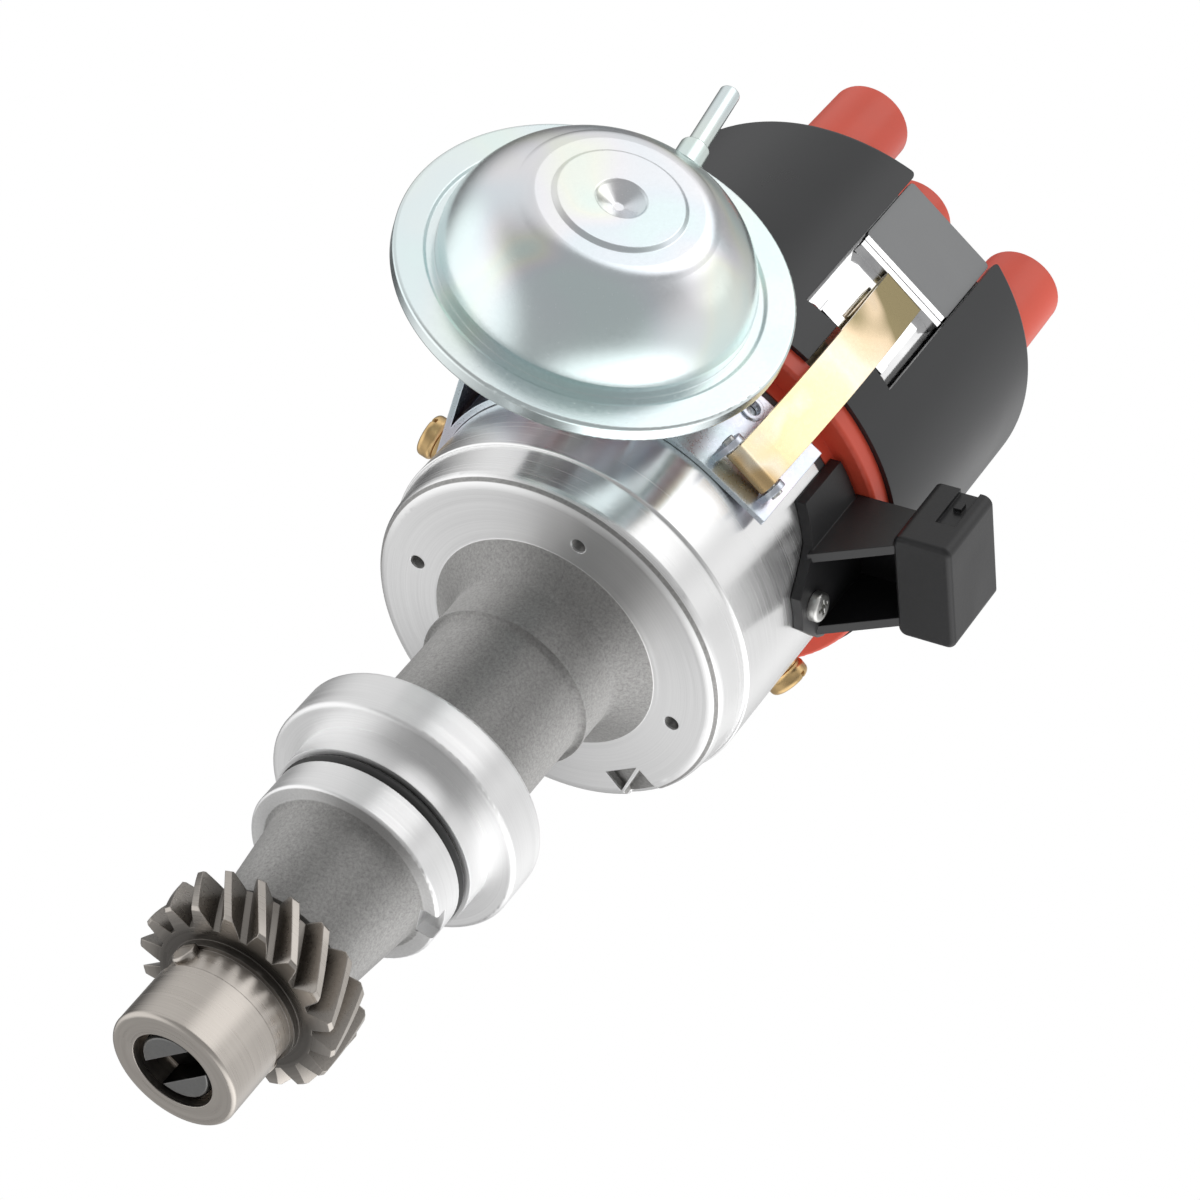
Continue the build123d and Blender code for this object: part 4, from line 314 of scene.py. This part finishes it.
print("group", cloud_group.name, "stretches", NOISE_RANGE, "to 0 and 1")

# %% [markdown]
# ### The film on zinc
#
# Plated zinc is dipped in a bath that leaves a film thinner than a wave of light. Its colour goes
# round from blue over violet, pink and straw to green, and back. A thin-film shader can work this
# out, but its colours are hard to steer, and it changes with the view, so a baked texture can't
# hold it. Here a ramp of five colours goes round once while the phase rises by 1. The first colour
# comes back at the end, so that no step shows.

# %% Film of passivation
BLUE = (0.56, 0.74, 0.80)
FILM = (
    (0.0, BLUE),
    (0.22, (0.62, 0.64, 0.80)),
    (0.42, (0.84, 0.68, 0.78)),
    (0.62, (0.92, 0.84, 0.62)),
    (0.82, (0.66, 0.86, 0.74)),
    (1.0, BLUE),
)

film_group, given, result = group("passivation_film", {"Phase": 0.0}, {"Colour": "Color"})
round_once = math_node(film_group, "FRACT", given["Phase"])
fill(film_group, result.inputs["Colour"], colour_ramp(film_group, round_once, FILM))
print("group", film_group.name, "has", len(FILM), "stops")

# %% [markdown]
# ### Bands
#
# Only some zones of the casting are turned, and they end at known heights and radii. A zone could
# be given a material slot of its own, but the CAD mesh has one slot and stays as it is. So a mask
# says where a zone is: 1 between two limits and 0 outside them, with a narrow soft edge.

# %% Band
BAND_EDGE = 0.1  # mm over which a band fades out

band_group, given, result = group(
    "band", {"Value": 0.0, "Low": 0.0, "High": 1.0}, {"Inside": "Float"}
)
low_end = plus(band_group, given["Low"], BAND_EDGE)
high_start = math_node(band_group, "SUBTRACT", given["High"], BAND_EDGE)
above = spread(band_group, given["Value"], 0.0, 1.0, given["Low"], low_end)
below = spread(band_group, given["Value"], 1.0, 0.0, high_start, given["High"])
fill(band_group, result.inputs["Inside"], times(band_group, above, below))


def inside(tree, value, limits):
    """1 where a value lies between two limits, 0 elsewhere."""
    return use(tree, band_group, Value=value, Low=limits[0], High=limits[1])["Inside"]


print("group", band_group.name, "fades over", BAND_EDGE, "mm")

# %% [markdown]
# ## From effects to materials
#
# Every material starts from a Principled shader. Its relief is a Bump node: the meshes have the
# real shapes, and the bump adds only what is finer than a fifth of a millimetre. The Bump node's
# own normal comes from a Bevel node, which rounds the light on edges without a change of the mesh.
# A real edge is never quite sharp, and it always catches a thin line of light.

# %% Shader and relief
BEVEL_SAMPLES = 4


def shader(name, **values):
    """A new material, with its tree, its Principled shader and a point's place."""
    made = bpy.data.materials.new(name)
    made.use_nodes = True
    tree = made.node_tree
    principled = tree.nodes["Principled BSDF"]
    for label, value in values.items():
        socket = principled.inputs[label.replace("_", " ")]
        socket.default_value = (*value, 1) if isinstance(value, tuple) else value
    return made, tree, principled, use(tree, place_group)


def relief(tree, principled, height, depth, edge=0.25):
    """Links a height to the shader's normal, on top of softened edges. Sizes in millimetres."""
    bevel = node(tree, "Bevel", {"Radius": edge * MM}, samples=BEVEL_SAMPLES)
    inputs = {
        "Height": height,
        "Distance": depth * MM,
        "Strength": 1.0,
        "Normal": bevel.outputs[0],
    }
    fill(tree, principled.inputs["Normal"], node(tree, "Bump", inputs).outputs[0])


# %% [markdown]
# Most finishes are one colour with a grain. One flat value for colour and roughness looks made by
# a computer, so `finish` lets the grain and the clouds move the colour a little around its mean,
# moves the roughness with them, and uses the same grain as relief. Dull spots, dark spots and
# hollows then fall together, as they do on a real surface.

# %% A finish with grain
GRAIN_SHARE = 0.5  # weight of the grain against the clouds
TONE_RANGE = (0.1, 1.3)  # the weighted sum that becomes 0 and 1
ROUGH_CHANGE = 0.12


def finish(name, colour, rough, metal=0.0, grain=0.3, depth=0.01, change=0.12, cloud=18.0, **more):
    """A material with grain, cloudy changes of tone and softened edges. Sizes in millimetres."""
    made, tree, principled, _ = shader(name, Metallic=metal, **more)
    grains = grain_of(tree, grain)
    clouds = clouds_of(tree, cloud)
    tone = plus(tree, times(tree, grains, GRAIN_SHARE), clouds)
    dark = tuple(channel * (1 - change) for channel in colour)
    light = tuple(min(1.0, channel * (1 + change)) for channel in colour)
    shade = mixed(tree, spread(tree, tone, 0, 1, *TONE_RANGE), dark, light)
    fill(tree, principled.inputs["Base Color"], shade)
    limits = (rough * (1 - ROUGH_CHANGE), rough * (1 + ROUGH_CHANGE))
    fill(tree, principled.inputs["Roughness"], spread(tree, tone, *limits, *TONE_RANGE))
    relief(tree, principled, grains, depth)
    return made


def grained_roughness(tree, principled, size, limits):
    """Lets a grain move the roughness between two limits, and returns the grain."""
    grains = grain_of(tree, size)
    fill(tree, principled.inputs["Roughness"], spread(tree, grains, *limits, *NOISE_RANGE))
    return grains


# %% [markdown]
# ## The housing
#
# The housing is one aluminium casting with two finishes. The stem and the neck keep the grey skin
# that blasting left. The pilot, the collar, the ring under the bowl and the bowl's wall were
# turned after casting, so they are bright and ringed. Two materials on two parts of the mesh could
# show it, but here one material does, with three masks from the height and the radius that tell
# where the tool has cut. So the border between skin and cut lies exactly where the sizes say.

# %% Where the lathe has cut
PILOT_FOOT, COLLAR_TOP = -15.5, 9.5  # mm
STEM_RADIUS = 15.2  # mm, the stem inside it keeps its skin
RING_HEIGHTS = (51.9, 52.5)  # mm, the flat ring under the bowl
WALL_DEPTH = 2.0  # mm under the bowl's wall that its finish reaches
FAR_OUT, FAR_UP = 60, 200  # mm, outside and above the whole housing


def box_of(name):
    """The lowest and the highest corner of a CAD piece's box, in millimetres."""
    corners = nodes[name].bound_box
    return Vector(corners[0]) / MM, Vector(corners[6]) / MM


bowl_radius = box_of("housing")[1].x
pilot_heights = (PILOT_FOOT - BAND_EDGE / 2, COLLAR_TOP + BAND_EDGE)

housing_metal, tree, principled, spot = shader(
    "housing_metal", Metallic=1.0, Anisotropic=0.9, Anisotropic_Rotation=0.25
)
round_pilot = inside(tree, spot["Radius"], (STEM_RADIUS, FAR_OUT))
pilot = times(tree, inside(tree, spot["Z"], pilot_heights), round_pilot)
face = inside(tree, spot["Z"], RING_HEIGHTS)
outside = inside(tree, spot["Radius"], (bowl_radius - WALL_DEPTH, FAR_OUT))
wall = times(tree, inside(tree, spot["Z"], (RING_HEIGHTS[0], FAR_UP)), outside)
turned = plus(tree, pilot, plus(tree, face, wall, clamp=True), clamp=True)
print("bowl's radius", round(bowl_radius, 2), "mm, pilot and collar", pilot_heights, "mm")

# %% [markdown]
# The colour then mixes between skin and cut metal by that mask. Cut aluminium is nearly white to
# the shader, because what it shows is mostly what it mirrors. The skin is darker in the hollows of
# its grain, where dirt and shade sit.

# %% Colour of the housing
SKIN_DARK, SKIN_LIGHT = (0.34, 0.335, 0.33), (0.52, 0.515, 0.505)
CUT_DARK, CUT_LIGHT = (0.80, 0.80, 0.80), (0.95, 0.95, 0.95)
SKIN_GRAIN_MM = 0.17
SKIN_NOISE_RANGE = (0.35, 0.65)
FACE_LINES_PER_MM = 4.0

lathe = lathe_lines(tree, spot, FACE_LINES_PER_MM)
grains = grain_of(tree, SKIN_GRAIN_MM)
skin = mixed(tree, spread(tree, grains, 0, 1, *SKIN_NOISE_RANGE), SKIN_DARK, SKIN_LIGHT)
cut = mixed(tree, lathe, CUT_DARK, CUT_LIGHT)
fill(tree, principled.inputs["Base Color"], mixed(tree, turned, skin, cut))
print("skin grain", SKIN_GRAIN_MM, "mm,", FACE_LINES_PER_MM, "lines per mm on the cut faces")

# %% [markdown]
# Roughness and relief mix by the same mask. The wall was cut with a finer feed than the faces, so
# it is smoother. The skin's relief is deep, and the rings are so shallow that they only tint the
# light. Both go through one Bump node, since two in a row would soften the edges twice.

# %% Roughness and relief of the housing
SKIN_ROUGH = 0.58
FACE_ROUGH = (0.30, 0.40)
WALL_ROUGH = (0.20, 0.28)
SKIN_HEIGHT, RING_HEIGHT = 0.3, 0.05  # shares of the depth below
DEEPEST_MM = 0.16

face_rough = spread(tree, lathe, *FACE_ROUGH, *NOISE_RANGE)
wall_rough = spread(tree, lathe, *WALL_ROUGH, *NOISE_RANGE)
cut_rough = either(tree, wall, face_rough, wall_rough)
fill(tree, principled.inputs["Roughness"], either(tree, turned, SKIN_ROUGH, cut_rough))
rings = times(tree, lathe, times(tree, turned, RING_HEIGHT))
uncut = math_node(tree, "SUBTRACT", 1.0, turned)
blasted = times(tree, grains, times(tree, uncut, SKIN_HEIGHT))
relief(tree, principled, plus(tree, rings, blasted), depth=DEEPEST_MM, edge=0.3)
print("skin", SKIN_ROUGH, "rough, turned face", FACE_ROUGH)

# %% [markdown]
# A turned face shows bright fans that meet at its centre, because its rings scatter light across
# them and hardly along them. Thousands of modelled rings would show it, and so does, far more
# cheaply, an anisotropic shader, which stretches its highlight in one direction. The Tangent node
# gives that direction: round the Z axis. The quarter turn of Anisotropic Rotation lays the stretch
# across the rings.

# %% Turned sheen of the housing
round_axis = node(tree, "Tangent", direction_type="RADIAL", axis="Z").outputs[0]
fill(tree, principled.inputs["Tangent"], round_axis)
print("anisotropic", round(principled.inputs["Anisotropic"].default_value, 2))

# %% [markdown]
# ## Zinc-plated sheet
#
# The vacuum can is pressed from sheet and plated in bright zinc with a blue film. The film is
# stronger toward the rim, where the bath drains off, so a mask by the distance from the can's axis
# tints the foot of the dome. One flat blue would look painted: the clouds set the phase of the
# film, so that its colours drift over the sheet.

# %% Vacuum can
FOOT_RADII = (22.0, 29.0)  # mm, where the tint starts and where it is full
FOOT_SHARE = 0.6
FILM_SHARE = 0.32
CAN_BASE, CAN_FOOT = (0.84, 0.91, 0.90), (0.74, 0.86, 0.85)
CAN_CLOUD_MM = 26.0
CAN_PHASE_CHANGE = 0.9
CAN_ROUGH = (0.18, 0.28)

can_low, can_high = box_of("vacuum_front_shell")
can_axis = (can_low + can_high) / 2

can_zinc, tree, principled, spot = shader("can_zinc", Metallic=1.0)
clouds = clouds_of(tree, CAN_CLOUD_MM)
film = use(tree, film_group, Phase=times(tree, clouds, CAN_PHASE_CHANGE))["Colour"]
plated = mixed(tree, FILM_SHARE, CAN_BASE, film)
across = math_node(tree, "SUBTRACT", spot["X"], can_axis.x)
upward = math_node(tree, "SUBTRACT", spot["Z"], can_axis.z)
squares = plus(tree, times(tree, across, across), times(tree, upward, upward))
from_axis = math_node(tree, "SQRT", squares)
foot = spread(tree, from_axis, 0.0, FOOT_SHARE, *FOOT_RADII, shape="SMOOTHSTEP")
fill(tree, principled.inputs["Base Color"], mixed(tree, foot, plated, CAN_FOOT))
grains = grained_roughness(tree, principled, 0.25, CAN_ROUGH)
relief(tree, principled, grains, depth=0.006, edge=0.35)
print("can's axis at X", round(can_axis.x, 1), "and Z", round(can_axis.z, 1), "mm")

# %% [markdown]
# The bracket is a flat sheet from the same bath. It has no dome to drain from, so its film is
# patchy: smaller clouds, more of the film's colour, and a start at the blue end.

# %% Bracket
BRACKET_BASE = (0.72, 0.76, 0.78)
BRACKET_FILM_SHARE = 0.45
BRACKET_CLOUD_MM = 16.0
PHASE_START, PHASE_CHANGE = 0.02, 0.5
BRACKET_ROUGH = (0.24, 0.36)

bracket_zinc, tree, principled, _ = shader("bracket_zinc", Metallic=1.0)
clouds = clouds_of(tree, BRACKET_CLOUD_MM)
phase = plus(tree, times(tree, clouds, PHASE_CHANGE), PHASE_START)
film = use(tree, film_group, Phase=phase)["Colour"]
plated = mixed(tree, BRACKET_FILM_SHARE, BRACKET_BASE, film)
fill(tree, principled.inputs["Base Color"], plated)
grains = grained_roughness(tree, principled, 0.3, BRACKET_ROUGH)
relief(tree, principled, grains, depth=0.008, edge=0.3)
print("bracket's phase from", PHASE_START, "to", PHASE_START + PHASE_CHANGE)

# %% [markdown]
# The clips are spring steel, plated and passivated yellow. Their colour changes along their
# length: brown in the fold at the foot, straw on the long strap, olive at the curled nose. The
# film's ramp can't give that, because it repeats. This order is fixed on the part, so a ramp of
# its own follows the height, and the clouds only bend its borders.

# %% Clips
CLIP_HEIGHTS = (78, 140)  # mm, from just under the foot to just over the nose
CLIP_CLOUD_MM = 14.0
BORDER_BEND = 0.35  # how far the clouds move a border, as a share of the clip's height
CLIP_ROUGH = (0.24, 0.34)
YELLOW_ZINC = (
    (0.0, (0.40, 0.27, 0.13)),
    (0.16, (0.70, 0.50, 0.26)),
    (0.26, (0.90, 0.80, 0.62)),
    (0.36, (0.94, 0.78, 0.46)),
    (0.55, (0.93, 0.80, 0.50)),
    (0.74, (0.92, 0.80, 0.64)),
    (0.90, (0.86, 0.68, 0.46)),
    (0.98, (0.34, 0.28, 0.15)),
)

clip_zinc, tree, principled, spot = shader("clip_zinc", Metallic=1.0)
height = spread(tree, spot["Z"], 0, 1, *CLIP_HEIGHTS)
drift = plus(tree, height, times(tree, clouds_of(tree, CLIP_CLOUD_MM), BORDER_BEND))
fill(tree, principled.inputs["Base Color"], colour_ramp(tree, drift, YELLOW_ZINC))
grains = grained_roughness(tree, principled, 0.3, CLIP_ROUGH)
relief(tree, principled, grains, depth=0.006, edge=0.2)
print("clips change over", len(YELLOW_ZINC), "colours")

# %% [markdown]
# ## Steel
#
# The gear and its hub are cut from one bar and ground. The hub shows rings, and the teeth are
# smoother. The colour darkens the roots of the teeth as painted shade. Ambient occlusion could
# find the roots, but it renders slowly, and the radius finds them as well, because every root lies
# on one circle.

# %% Gear and hub
HUB_HEIGHTS = (-80, -50)  # mm, from below the hub to the teeth
TOOTH_RADII = (14.5, 19.4)  # mm, from under the root to the tip
ROOT_SHADE, TIP_SHADE = 0.26, 0.90
TOOTH_GRAIN = 0.4  # height of the grain against that of the rings
HUB_LINES_PER_MM = 2.5
STEEL_DARK, STEEL_LIGHT = (0.44, 0.405, 0.37), (0.60, 0.56, 0.515)
STEEL_ROUGH = (0.26, 0.34)

gear_steel, tree, principled, spot = shader("gear_steel", Metallic=1.0)
lathe = lathe_lines(tree, spot, HUB_LINES_PER_MM)
hub = inside(tree, spot["Z"], HUB_HEIGHTS)
# painted shade: the teeth get darker towards their roots, by radius
tooth_shade = spread(tree, spot["Radius"], ROOT_SHADE, TIP_SHADE, *TOOTH_RADII)
shade = either(tree, hub, tooth_shade, 1.0)
grey = node(tree, "CombineColor", {0: shade, 1: shade, 2: shade}).outputs[0]
ground = mixed(tree, lathe, STEEL_DARK, STEEL_LIGHT)
fill(tree, principled.inputs["Base Color"], mixed(tree, 1.0, ground, grey, "MULTIPLY"))
fill(tree, principled.inputs["Roughness"], spread(tree, lathe, *STEEL_ROUGH, *NOISE_RANGE))
grains = times(tree, grain_of(tree, 0.5), TOOTH_GRAIN)
relief(tree, principled, plus(tree, times(tree, lathe, hub), grains), depth=0.008)
print("teeth shaded between radii", TOOTH_RADII, "mm")

# %% [markdown]
# The shaft's end shows inside the hub. It is blackened steel, with a slot across it that drives
# the oil pump. A real slot gets its darkness from its depth, but the studio's even light would
# reach in, so the material paints the slot nearly black: painted shade.

# %% Blackened shaft
SLOT_REACH = 6.2  # mm from the shaft's end that the slot's painted shade reaches
BLACK_DARK, BLACK_LIGHT = (0.16, 0.16, 0.16), (0.24, 0.24, 0.235)
SLOT_PAINTED_SHADE = (0.012, 0.012, 0.012)

shaft_end = box_of("drive_shaft")[0].z

shaft_steel, tree, principled, spot = shader("shaft_steel", Metallic=1.0, Roughness=0.42)
grains = grain_of(tree, 0.4)
black = mixed(tree, grains, BLACK_DARK, BLACK_LIGHT)
slot = inside(tree, spot["Z"], (shaft_end + BAND_EDGE, shaft_end + SLOT_REACH))
# painted shade: within that reach of the shaft's end, the colour is mixed to near black
fill(tree, principled.inputs["Base Color"], mixed(tree, slot, black, SLOT_PAINTED_SHADE))
relief(tree, principled, grains, depth=0.01)
print("shaft ends at", round(shaft_end, 1), "mm")

# %% [markdown]
# ## The other finishes
#
# The other metals differ only in colour, roughness and grain, so `finish` makes each of them in one
# line. The screws have small strong clouds, because yellow plating is uneven on a thread. The
# screen in the cap is bright rolled sheet with hardly any grain.

# %% Other metals
plate_steel = finish("plate_steel", (0.62, 0.62, 0.60), 0.32, metal=1.0, grain=0.35, depth=0.008)
dark_steel = finish("dark_steel", (0.07, 0.07, 0.07), 0.50, metal=1.0)
bush_bronze = finish("bush_bronze", (0.50, 0.36, 0.20), 0.45, metal=1.0, grain=0.2, depth=0.02)
contact_brass = finish("contact_brass", (0.80, 0.62, 0.32), 0.28, metal=1.0, depth=0.006)
screw_zinc = finish("screw_zinc", (0.72, 0.50, 0.24), 0.30, metal=1.0, change=0.3, cloud=4)
screen_sheet = finish(
    "screen_sheet", (0.90, 0.90, 0.91), 0.12, metal=1.0, grain=0.6, depth=0.006, cloud=9
)
metals = (plate_steel, dark_steel, bush_bronze, contact_brass, screw_zinc, screen_sheet)
print("made", [metal.name for metal in metals])

# %% [markdown]
# The cap is a red insulating moulding, glossy and very even. The shield round it and the connector
# are black, and even black plastic reflects a few percent: a colour of zero would look like a
# hole. The panels over the clips' windows are painted sheet. Paint hides the metal under it, so
# the shader takes them as no metal.

# %% Plastics and paint
cap_plastic = finish("cap_plastic", (0.80, 0.10, 0.055), 0.34, depth=0.006, change=0.06)
shield_plastic = finish(
    "shield_plastic", (0.022, 0.023, 0.025), 0.30, grain=0.35, depth=0.008, change=0.1
)
connector_plastic = finish(
    "connector_plastic", (0.012, 0.012, 0.013), 0.40, depth=0.03, change=0.1
)
inner_plastic = finish("inner_plastic", (0.05, 0.05, 0.055), 0.45)
rotor_plastic = finish("rotor_plastic", (0.32, 0.08, 0.05), 0.40)
panel_sheet = finish(
    "panel_sheet", (0.27, 0.275, 0.28), 0.42, grain=0.35, depth=0.008, change=0.06
)
plastics = (cap_plastic, shield_plastic, connector_plastic, inner_plastic, rotor_plastic)
print("made", [plastic.name for plastic in plastics], "and", panel_sheet.name)

# %% [markdown]
# Three soft or loose materials are left. Rubber seals are black and dull. The carbon brush has a
# touch of metal, from its graphite. The felt wick scatters light between its fibres, which a
# little Sheen stands for, far more cheaply than hair.

# %% Rubber, carbon and felt
ring_rubber = finish("ring_rubber", (0.018, 0.018, 0.018), 0.46, grain=0.2, depth=0.006)
carbon = finish("carbon", (0.03, 0.03, 0.03), 0.55, metal=0.3, grain=0.2, depth=0.02)
felt = finish("felt", (0.33, 0.31, 0.28), 0.95, grain=0.5, depth=0.15, Sheen_Weight=0.4)
print("made", [soft.name for soft in (ring_rubber, carbon, felt)])

# %% [markdown]
# ## Which piece wears what
#
# The CAD pieces come with plain materials. Each gets one finish in place of them, by its name. A
# list with a line for every piece would repeat itself, because few finishes serve many pieces. So
# the table goes from finish to pieces. Whatever it doesn't name is a stamping, pin or spring, and
# gets the plate steel.

# %% Put the finishes on
WORN_BY = (
    (housing_metal, ("housing",)),
    (can_zinc, ("vacuum_front_shell", "vacuum_rear_shell", "hose_nipple")),
    (bracket_zinc, ("vacuum_bracket", "rear_clip_bracket")),
    (clip_zinc, ("clip_front", "clip_rear")),
    (gear_steel, ("drive_gear", "gear_pin")),
    (shaft_steel, ("drive_shaft",)),
    (dark_steel, ("thrust_washer", "upper_shim", "weight_carrier", "weight_a", "weight_b")),
    (bush_bronze, ("lower_bush", "upper_bush")),
    (
        contact_brass,
        ("rotor_contact", "electrodes", "centre_terminal", "brush_spring", "connector_pins"),
    ),
    (screw_zinc, ("plate_screws", "lock_washers")),
    (screen_sheet, ("cap_screen",)),
    (cap_plastic, ("cap",)),
    (shield_plastic, ("cap_shield",)),
    (connector_plastic, ("hall_connector",)),
    (inner_plastic, ("hall_sensor", "rotor_resistor", "dust_cover")),
    (rotor_plastic, ("rotor_arm",)),
    (panel_sheet, ("clip_panels",)),
    (ring_rubber, ("o_ring", "shaft_seal", "diaphragm")),
    (carbon, ("carbon_brush",)),
    (felt, ("felt_wick",)),
)
finish_of = {name: material for material, names in WORN_BY for name in names}
for name, piece in nodes.items():
    piece.data.materials.clear()
    piece.data.materials.append(finish_of.get(name, plate_steel))
print(len(WORN_BY) + 1, "finishes on", len(nodes), "nodes,", len(finish_of), "of them by name")

# %% [markdown]
# ## Studio
#
# The photograph has a pure white background with no shadow, because it looks up at the part. From
# above, the part should still stand on something. So the floor is a pale disc that only the camera
# sees, and only its upper side: it is clear from below, and it throws no light on the part. Light
# Path's Is Camera Ray and Geometry's Backfacing tell these cases apart in the material.

# %% Floor's disc
FLOOR_RADIUS = 6.0  # metres
FLOOR_SIDES = 72
FLOOR_GAP = 0.0002  # metres under the part

floor_mesh = bpy.data.meshes.new("floor")
angles = [2 * math.pi * side / FLOOR_SIDES for side in range(FLOOR_SIDES)]
rim = [(FLOOR_RADIUS * math.cos(angle), FLOOR_RADIUS * math.sin(angle), 0) for angle in angles]
floor_mesh.from_pydata(rim, [], [list(range(FLOOR_SIDES))])
floor = bpy.data.objects.new("floor", floor_mesh)
floor.location = (0, 0, cad_low.z - FLOOR_GAP)
scene.collection.objects.link(floor)
print("floor at", round(floor.location.z / MM, 1), "mm")

# %% [markdown]
# The disc gets a matt, slightly uneven grey-white, a little darker than the background, so that
# the part's shadow shows on it. A mix with a transparent shader then hides it from all but the
# camera.

# %% Floor's material
FLOOR_DARK, FLOOR_LIGHT = (0.86, 0.86, 0.86), (0.90, 0.90, 0.90)
FLOOR_CLOUD_MM = 400.0

pale_floor, tree, principled, _ = shader("pale_floor", Roughness=0.9)
pale = mixed(tree, clouds_of(tree, FLOOR_CLOUD_MM), FLOOR_DARK, FLOOR_LIGHT)
fill(tree, principled.inputs["Base Color"], pale)
front = math_node(tree, "SUBTRACT", 1.0, node(tree, "NewGeometry").outputs["Backfacing"])
shown = times(tree, node(tree, "LightPath").outputs["Is Camera Ray"], front)
clear = node(tree, "BsdfTransparent").outputs[0]
blend = node(tree, "MixShader", {0: shown, 1: clear, 2: principled.outputs[0]}).outputs[0]
fill(tree, tree.nodes["Material Output"].inputs["Surface"], blend)
floor_mesh.materials.append(pale_floor)
print("floor wears", pale_floor.name)

# %% [markdown]
# Metal looks like what it mirrors, so the light matters as much as the material. Lamp objects
# would show as hard-edged shapes in the polished faces. Broad soft lobes in the world are
# smoother: each is bright where the direction is close to its axis, by the cosine between the two,
# and fades out further away. One lobe is negative, which makes a dark corner, as a black card does
# in a studio. The camera itself sees a plain white world at strength 1.

# %% World and broad lamps
BASE_LIGHT = 0.42
# Each lamp: direction, cosine where it is full, cosine where it ends, strength
LAMPS = (
    ((0.19, -0.76, 0.63), 0.985, 0.86, 1.1),  # in front and above
    ((-0.70, -0.35, 0.62), 0.95, 0.55, 0.42),  # left and above
    ((0.60, -0.50, 0.63), 0.98, 0.90, 0.35),  # right and above, small
    ((0.95, 0.20, 0.25), 0.95, 0.40, 0.42),  # right, very broad
    ((0.06, 0.81, 0.59), 0.97, 0.75, 0.40),  # behind and above
    ((-0.45, 0.66, 0.60), 0.95, 0.60, -0.35),  # the dark corner, behind on the left
    ((0.70, 0.50, -0.50), 0.95, 0.60, 1.10),  # below on the right, for the turned faces
    ((-0.85, 0.20, -0.50), 0.95, 0.60, 0.80),  # below on the left, for the turned faces
)

world = bpy.data.worlds.new("studio")
scene.world = world
world.use_nodes = True
tree = world.node_tree
direction = node(tree, "TexCoord").outputs["Generated"]
light = BASE_LIGHT
for axis, full, end, strength in LAMPS:
    toward = {0: direction, 1: Vector(axis).normalized()}
    aim = node(tree, "VectorMath", toward, operation="DOT_PRODUCT").outputs["Value"]
    lobe = spread(tree, aim, 0.0, strength, end, full, shape="SMOOTHSTEP")
    light = plus(tree, lobe, light)
background = tree.nodes["Background"]
background.inputs["Color"].default_value = (1, 1, 1, 1)
seen = node(tree, "LightPath").outputs["Is Camera Ray"]
fill(tree, background.inputs["Strength"], either(tree, seen, light, 1.0))

scene.view_settings.view_transform = "Standard"
print(len(LAMPS), "broad lamps over a base of", BASE_LIGHT)
